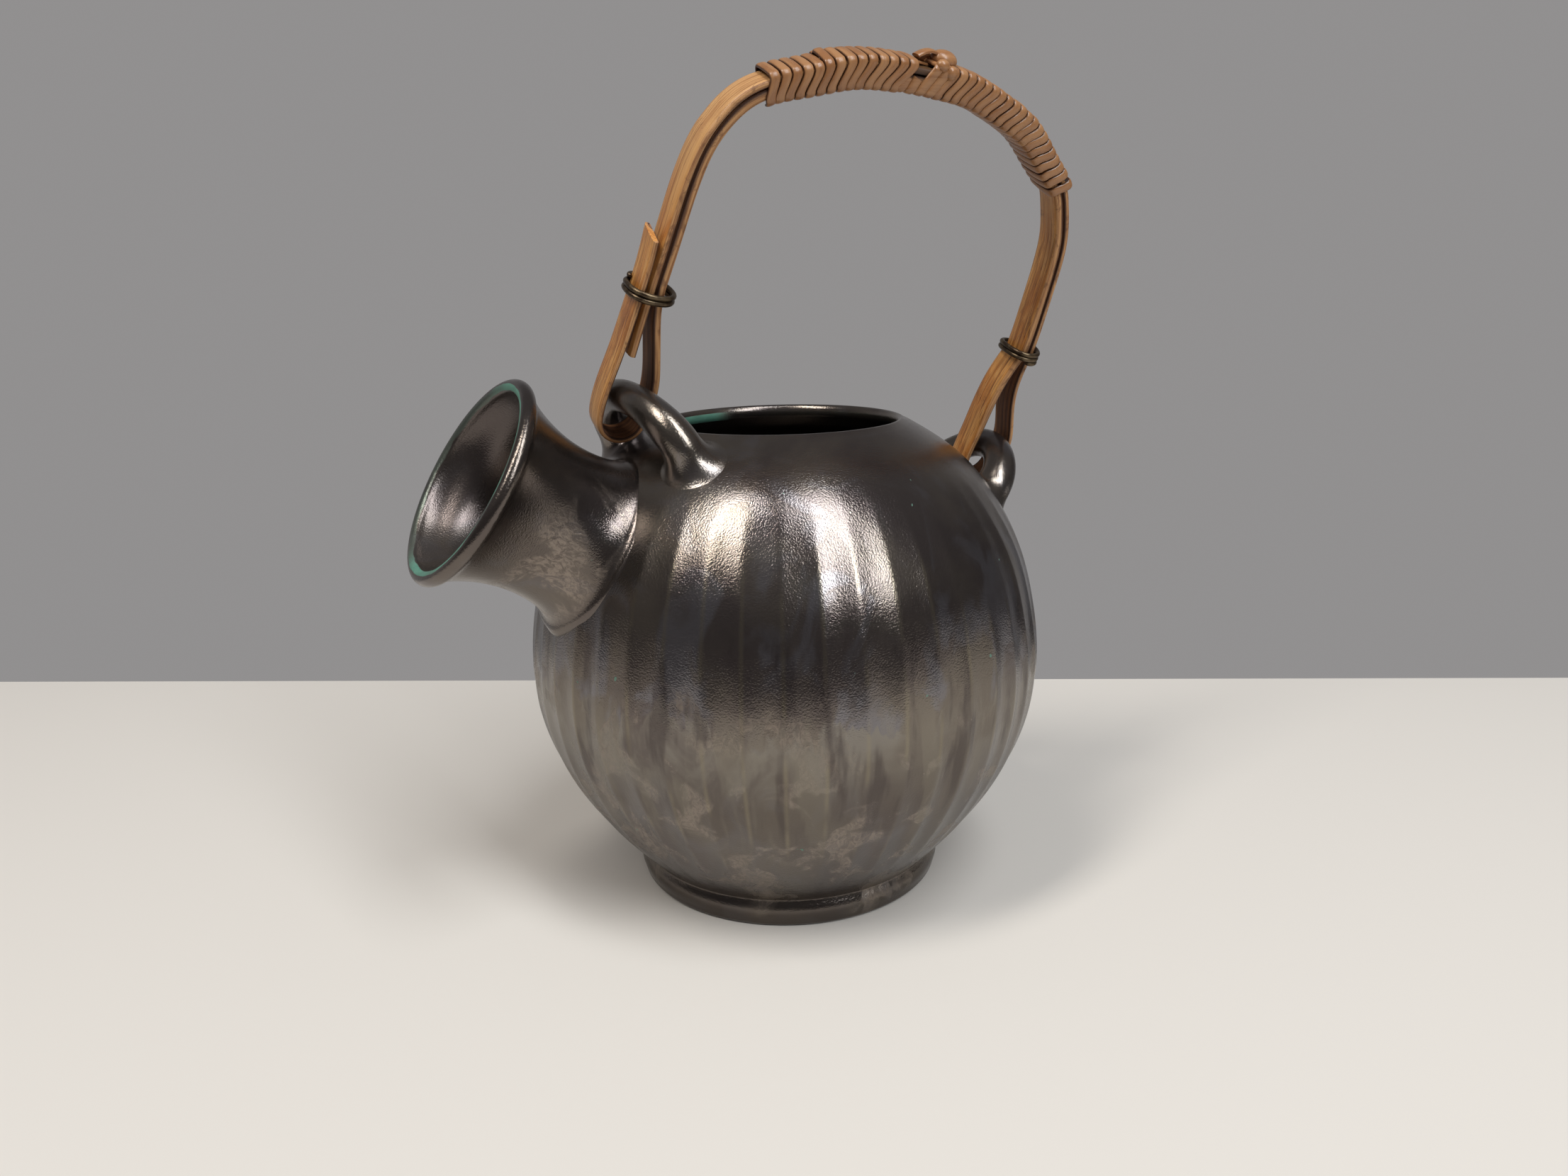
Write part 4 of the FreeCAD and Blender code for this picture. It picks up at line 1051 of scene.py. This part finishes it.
def glaze_material(name, rim_radius, rim_height, rim_way, rim_far, patches, bare, placed=None):
    """Gunmetal stoneware glaze: broken patches, orange-peel skin and verdigris along a rim.

    rim_radius and rim_height hold the verdigris, rim_way and rim_far fade it to one side, patches is
    where the patches lie, bare is how much they leave bare, and placed is the spout's place."""
    net = Net(name)
    place = net.object_place() if placed is None else net.place_in(placed)
    x, y, z = net.split(place)
    cloud = net.noise(place, 24, 4, 0.55, 0.4)
    drift = net.noise(net.scaled(place, (1, 1, 0.6)), 75, 4, 0.55, 0.8)
    feather = net.noise(net.scaled(place, (1, 1, 0.6)), 560, 5, 0.72, 1.6)
    radius = net.math("POWER", net.plus(net.times(x, x), net.times(y, y)), 0.5)
    base = net.mix(net.step(cloud, 0.38, 0.62), GLAZE_DARK, GLAZE_WARM)
    cooler = net.plus(0.4, net.times(net.band(z, *COOL_AT), 0.5))
    base = net.lay(base, GLAZE_COOL, net.step(drift, 0.50, 0.64), cooler)
    uneven = net.times(net.minus(cloud, 0.5), 0.06)
    zone = net.band(net.plus(z if placed is None else x, uneven), *patches, PATCH_SOFT)
    patch = net.times(zone, net.step(net.noise(place, 85, 3, 0.55, 0.6), bare, bare + 0.10))
    if placed is not None:
        base = net.mix(net.step(x, -0.021, -0.008, 0.15, 0.55), base, SPOUT_TOP_DARK)
        patch = net.times(patch, net.times(net.step(radius, 0.0186, 0.0190), net.band(z, *SPOUT_PATCH_AT)))
    base = net.lay(base, GLAZE_PALE, patch, net.step(feather, 0.40, 0.60, 0.15, 0.85))
    if placed is None:
        base = flute_marks(net, base, patch, drift, place, x, y, z)
    base = net.lay(base, SPECK, net.step(net.noise(place, 1100, 2, 0.5), 0.755, 0.785), 0.5)
    wander = net.times(net.minus(net.noise(place, 110, 3, 0.6), 0.5), 0.0012)
    rim = net.times(net.band(net.plus(radius, wander), *rim_radius, RIM_SOFT),
                    net.band(z, *rim_height, RIM_HEIGHT_SOFT))
    rim = net.times(rim, net.step(net.noise(place, 45, 2, 0.5), 0.34, 0.48, 0.35, 1.0))
    rim = net.times(rim, net.step(net.dot(place, rim_way), *rim_far, 1.0))
    spots = net.times(net.step(net.noise(place, 330, 1, 0.3), 0.815, 0.83), 0.7)
    rim = net.math("MAXIMUM", rim, spots)
    color = net.mix(rim, base, net.mix(net.noise(place, 300, 3, 0.6), VERDIGRIS_DARK, VERDIGRIS_PALE))
    rough = net.plus(net.step(cloud, 0.3, 0.7, 0.16, 0.21), net.times(patch, 0.14))
    rough = net.plus(rough, net.times(rim, 0.30))
    if placed is not None:
        funnel = net.step(net.minus(radius, net.times(z, 0.46)), 0.0258, 0.0252)
        rough = net.plus(rough, net.times(funnel, 0.10))
    peel = net.bump(net.noise(place, 2300, 2, 0.6), 0.55, 0.00012)
    peel = net.bump(net.noise(place, 210, 1, 0.4), 0.10, 0.0006, peel)
    peel = net.bump(feather, net.times(patch, 0.4), 0.0004, peel)
    return net.finish(Base_Color=color, Metallic=net.minus(0.93, net.times(rim, 0.8)), Roughness=rough,
                      Normal=peel)


def bamboo_material():
    """Split bamboo: glossy skin with grain and scorched blotches, pale streaks that are partly painted
    highlight, dark cut edges, fibrous pith, and painted shade in the gap beside the knot.
    """
    net = Net("bamboo_skin")
    uv = net.along_place()
    run, around, _ = net.split(uv)
    height = net.split(net.object_place())[2]
    streak = net.drawn(uv, (0.030, 0.95), 5, 0.62, 0.10)
    grain = net.drawn(uv, (0.055, 2.6), 4, 0.62, 0.0, (3, 8, 0))
    fine = net.drawn(uv, (0.10, 6.0), 3, 0.6)
    blotch = net.drawn(uv, (0.075, 0.16), 4, 0.6, 0.6)
    scorch = net.drawn(uv, (0.20, 0.42), 4, 0.65, 1.0, (7, 3, 0))
    line = net.drawn(uv, (0.045, 1.55), 2, 0.5, 0.15, (1, 4, 0))
    line = net.times(net.band(line, 0.495, 0.505, 0.022), net.step(height, 0.185, 0.165))
    skin_color = net.mix(net.step(blotch, 0.38, 0.62), (0.52, 0.205, 0.046), (0.66, 0.325, 0.098))
    for color, share, strength in (((0.54, 0.315, 0.145), net.step(height, 0.172, 0.200), 0.75),
                                   ((0.27, 0.095, 0.024), net.step(streak, 0.46, 0.64), 0.60),
                                   ((0.17, 0.055, 0.016), net.step(grain, 0.52, 0.66), 0.70),
                                   ((0.15, 0.050, 0.020), net.step(scorch, 0.60, 0.74), 0.75),
                                   ((0.16, 0.060, 0.022), net.step(fine, 0.64, 0.74), 0.4),
                                   ((0.13, 0.045, 0.016), line, 0.75),
                                   # Pale streaks along the grain: partly the skin's lighter grain, partly
                                   # painted highlight.
                                   ((0.68, 0.39, 0.15), net.step(streak, 0.46, 0.36), 0.55)):
        skin_color = net.lay(skin_color, color, share, strength)
    pith = net.mix(net.step(streak, 0.35, 0.65), (0.14, 0.055, 0.022), (0.30, 0.130, 0.050))
    pith = net.lay(pith, (0.06, 0.025, 0.012), net.step(fine, 0.50, 0.68), 0.6)
    edge = net.mix(net.step(grain, 0.40, 0.64), (0.50, 0.265, 0.110), (0.26, 0.110, 0.040))
    edge = net.lay(edge, (0.12, 0.048, 0.020), net.step(scorch, 0.52, 0.64), 0.6)
    off = net.math("ABSOLUTE", net.minus(around, (SKIN_FROM + SKIN_TO) / 2))
    depth = net.plus(net.minus(off, (SKIN_TO - SKIN_FROM) / 2), net.times(net.minus(grain, 0.5), 0.5))
    edge = net.mix(net.step(depth, 0.95, 1.55), edge, (0.060, 0.024, 0.012))
    color = net.mix(net.step(depth, -0.25, 0.15), skin_color, edge)
    color = net.mix(net.step(around, PITH_TO - 0.1, PITH_TO + 0.1, 1.0, 0.0), color, pith)
    # Painted shade on the skin in the gap beside the knot.
    color = net.lay(color, (0.030, 0.013, 0.007), net.band(run, SHADED_GAP_FROM, SHADED_GAP_TO, 0.5), 0.88)
    rough = net.plus(net.step(blotch, 0.3, 0.7, 0.27, 0.38), net.step(depth, -0.2, 0.3, 0.0, 0.35))
    lumps = net.bump(grain, 0.45, 0.00015, net.bump(streak, 0.5, 0.00025))
    return net.finish(Base_Color=color, Roughness=rough, Normal=lumps)


def rattan_material(name, seed, edges=True):
    """Split rattan: glossy skin, faint lengthwise grain, and painted shade darkening its edges where the
    turns meet.
    """
    net = Net(name)
    uv = net.along_place() if edges else net.scaled(net.object_place(), (1000, 1000, 1000))
    around = net.split(uv)[1]
    grain = net.drawn(uv, (0.05, 5.0), 4, 0.6, 0.0, (seed, 0, 0))
    patch = net.drawn(uv, (0.06, 0.2), 4, 0.6, 0.0, (seed, 5, 0))
    spots = net.drawn(uv, (0.9, 1.4), 3, 0.6)
    color = net.mix(net.step(patch, 0.36, 0.64), (0.27, 0.120, 0.048), (0.37, 0.185, 0.080))
    color = net.lay(color, (0.18, 0.070, 0.027), net.step(grain, 0.48, 0.72), 0.28)
    color = net.lay(color, (0.13, 0.05, 0.022), net.step(spots, 0.66, 0.76), 0.3)
    if edges:
        # Painted shade along the edges, where the turns meet.
        side = net.math("ABSOLUTE", net.minus(around, RATTAN_AROUND))
        edge_shade = net.step(side, RATTAN_WIDE / 2 - 0.28, RATTAN_WIDE / 2 + 0.15)
        color = net.mix(edge_shade, color, (0.070, 0.028, 0.013))
    return net.finish(Base_Color=color, Roughness=net.step(patch, 0.3, 0.7, 0.24, 0.36),
                      Normal=net.bump(grain, 0.3, 0.00012))


def wire_material():
    """Dark bronze wire with an olive bloom."""
    net = Net("wire_bronze")
    bloom = net.noise(net.object_place(), 500, 3, 0.6)
    color = net.mix(net.step(bloom, 0.4, 0.62), (0.070, 0.047, 0.030), (0.135, 0.098, 0.058))
    return net.finish(Base_Color=color, Metallic=0.85, Roughness=net.step(bloom, 0.3, 0.7, 0.28, 0.42),
                      Normal=net.bump(bloom, 0.2, 0.0001))


# Camera, at the photo's angle
camera_data = bpy.data.cameras.new("camera")
camera_data.sensor_width = 36
camera_data.lens = 27.016
camera_data.clip_start = 0.01
camera = bpy.data.objects.new("camera", camera_data)
camera.location = (-0.15615, -0.27489, 0.16665)
camera.rotation_euler = [radians(a) for a in (74.758, 1.276, -29.974)]
bpy.context.scene.collection.objects.link(camera)
bpy.context.scene.camera = camera

# Floor: a pale table whose far edge lies behind the jug
FLOOR_WIDTH = 3.2
FLOOR_DEPTH = 0.56
FLOOR_TURN = radians(-33.1)
FLOOR_EDGE = Vector((0.0732, 0.1302, 0))
FLOOR_COLOR = (0.69, 0.655, 0.61)
floor_way = Matrix.Rotation(FLOOR_TURN, 3, "Z") @ Vector((0, 1, 0))
bpy.ops.mesh.primitive_plane_add(size=1, location=FLOOR_EDGE - floor_way * (FLOOR_DEPTH / 2),
                                 rotation=(0, 0, FLOOR_TURN))
floor = bpy.context.object
floor.scale = (FLOOR_WIDTH, FLOOR_DEPTH, 1)
floor.name = "floor"
floor.data.materials.append(Net("floor_paper").finish(Base_Color=FLOOR_COLOR, Roughness=0.7))

# Room: a light wall behind the table, darker on its right and towards the viewer, and a dim ceiling
ROOM_DARK = (0.085, 0.080, 0.083)
ROOM_LIGHT = (0.285, 0.277, 0.277)
CEILING = (0.150, 0.145, 0.150)
RIGHT_WAY = (0.866, -0.5, 0)
world = bpy.data.worlds.new("studio")
world.use_nodes = True
sky = Nodes(world.node_tree)
sky_place = sky.node("ShaderNodeTexCoord").outputs["Generated"]
sky_up = sky.step(sky.split(sky_place)[2], 0.25, 0.60)
sky_far = sky.step(sky.dot(sky_place, floor_way), -0.30, 0.45)
sky_right = sky.step(sky.dot(sky_place, RIGHT_WAY), 0.57, 0.70, 1.0, 0.0)
room = sky.mix(sky.times(sky_right, sky_far), ROOM_DARK, ROOM_LIGHT)
sky.feed(sky.mix(sky_up, room, CEILING), sky.tree.nodes["Background"].inputs["Color"])
bpy.context.scene.world = world


def area_light(name, azimuth, elevation, distance, size, power, color):
    """Rectangular lamp that faces the jug's middle; angles in degrees."""
    data = bpy.data.lights.new(name, "AREA")
    data.shape = "RECTANGLE"
    data.size, data.size_y = size
    data.energy = power
    data.color = color
    light = bpy.data.objects.new(name, data)
    a, e = radians(azimuth), radians(elevation)
    way = Vector((cos(e) * cos(a), cos(e) * sin(a), sin(e)))
    light.location = Vector((0, 0, 0.09)) + way * distance
    light.rotation_euler = way.to_track_quat("Z", "Y").to_euler()
    bpy.context.scene.collection.objects.link(light)


area_light("ceiling_left", -165, 57, 1.5, (0.26, 0.80), 12, (1.0, 0.96, 0.90))
area_light("ceiling_front", -82, 50, 1.5, (0.36, 1.45), 21, (0.95, 0.98, 1.0))

bpy.context.scene.view_settings.view_transform = "Standard"

# Pieces on their bodies
glaze = glaze_material("glaze_pot", (0.0306, 0.0318), (0.1242, 0.1263), (-0.64, 0.77, 0),
                       (0.022, 0.027, 0.04), (0.014, 0.066), 0.51)
glaze_spout = glaze_material("glaze_spout", (0.0236, 0.0249), (-0.0016, 0.0002), (0, -1, 0),
                             (-0.014, -0.002, 0.2), (-0.026, -0.001), 0.38, SPOUT_PLACE)
bamboo = bamboo_material()
rattan_front = rattan_material("rattan_front", 3.0)
rattan_rear = rattan_material("rattan_rear", 11.0)
rattan_tied = rattan_material("rattan_tied", 5.0, False)
wire = wire_material()

pot = pot_piece()
cut(pot, bore_cutter())
pot.data.set_sharp_from_angle(angle=radians(60))
for piece, material, node in (
        (pot, glaze, "pot_body"),
        (foot_piece(), glaze, "foot_ring"),
        (spout_piece(), glaze_spout, "spout"),
        (lug_piece("front_lug_visual", FRONT_FOOT, FRONT_BAR, FRONT_HALF_SPAN), glaze, "front_lug"),
        (lug_piece("rear_lug_visual", REAR_FOOT, REAR_BAR, REAR_HALF_SPAN), glaze, "rear_lug")):
    part(piece, "jug", material, "glaze", node)
strip = strip_piece()
front_wire = wire_piece("front_wire_visual", WIRE_HEIGHT, -(BEND + GAP), 0, 1.34, 0.08, 0.55)
rear_wire = wire_piece("rear_wire_visual", REAR_WIRE_HEIGHT, 0, ARCH.length, 1.28, 0.43, 0.1)
front_wrap = wrap_piece("front_wrap_visual", FRONT_FROM, FRONT_TURNS, 3, (0.75, 1.4),
                        {5: 0.95, 6: 0.55, 7: 0.25}, 0.0, (0.5, 1.2))
rear_wrap = wrap_piece("rear_wrap_visual", REAR_FROM - REAR_EARLIER, REAR_TURNS, 5,
                       (1.1, 0.45), {9: 0.5, 11: 0.5}, 0.3, (1.2, 0.2))
for piece, material, slot, node in (
        (strip, bamboo, "bamboo", "bamboo_strip"),
        (front_wire, wire, "wire", "front_binding_wire"),
        (rear_wire, wire, "wire", "rear_binding_wire"),
        (front_wrap, rattan_front, "rattan", "front_rattan_wrap"),
        (rear_wrap, rattan_rear, "rattan", "rear_rattan_wrap"),
        (lay_piece("lay_strand_visual", LAY_FROM, LAY_TO, LAY_GAP_AT), rattan_tied, "rattan",
         "rattan_lay_strand"),
        (knot_piece("rattan_knot_visual", KNOT_AT), rattan_tied, "rattan", "rattan_knot")):
    part(piece, "bail", material, slot, node)
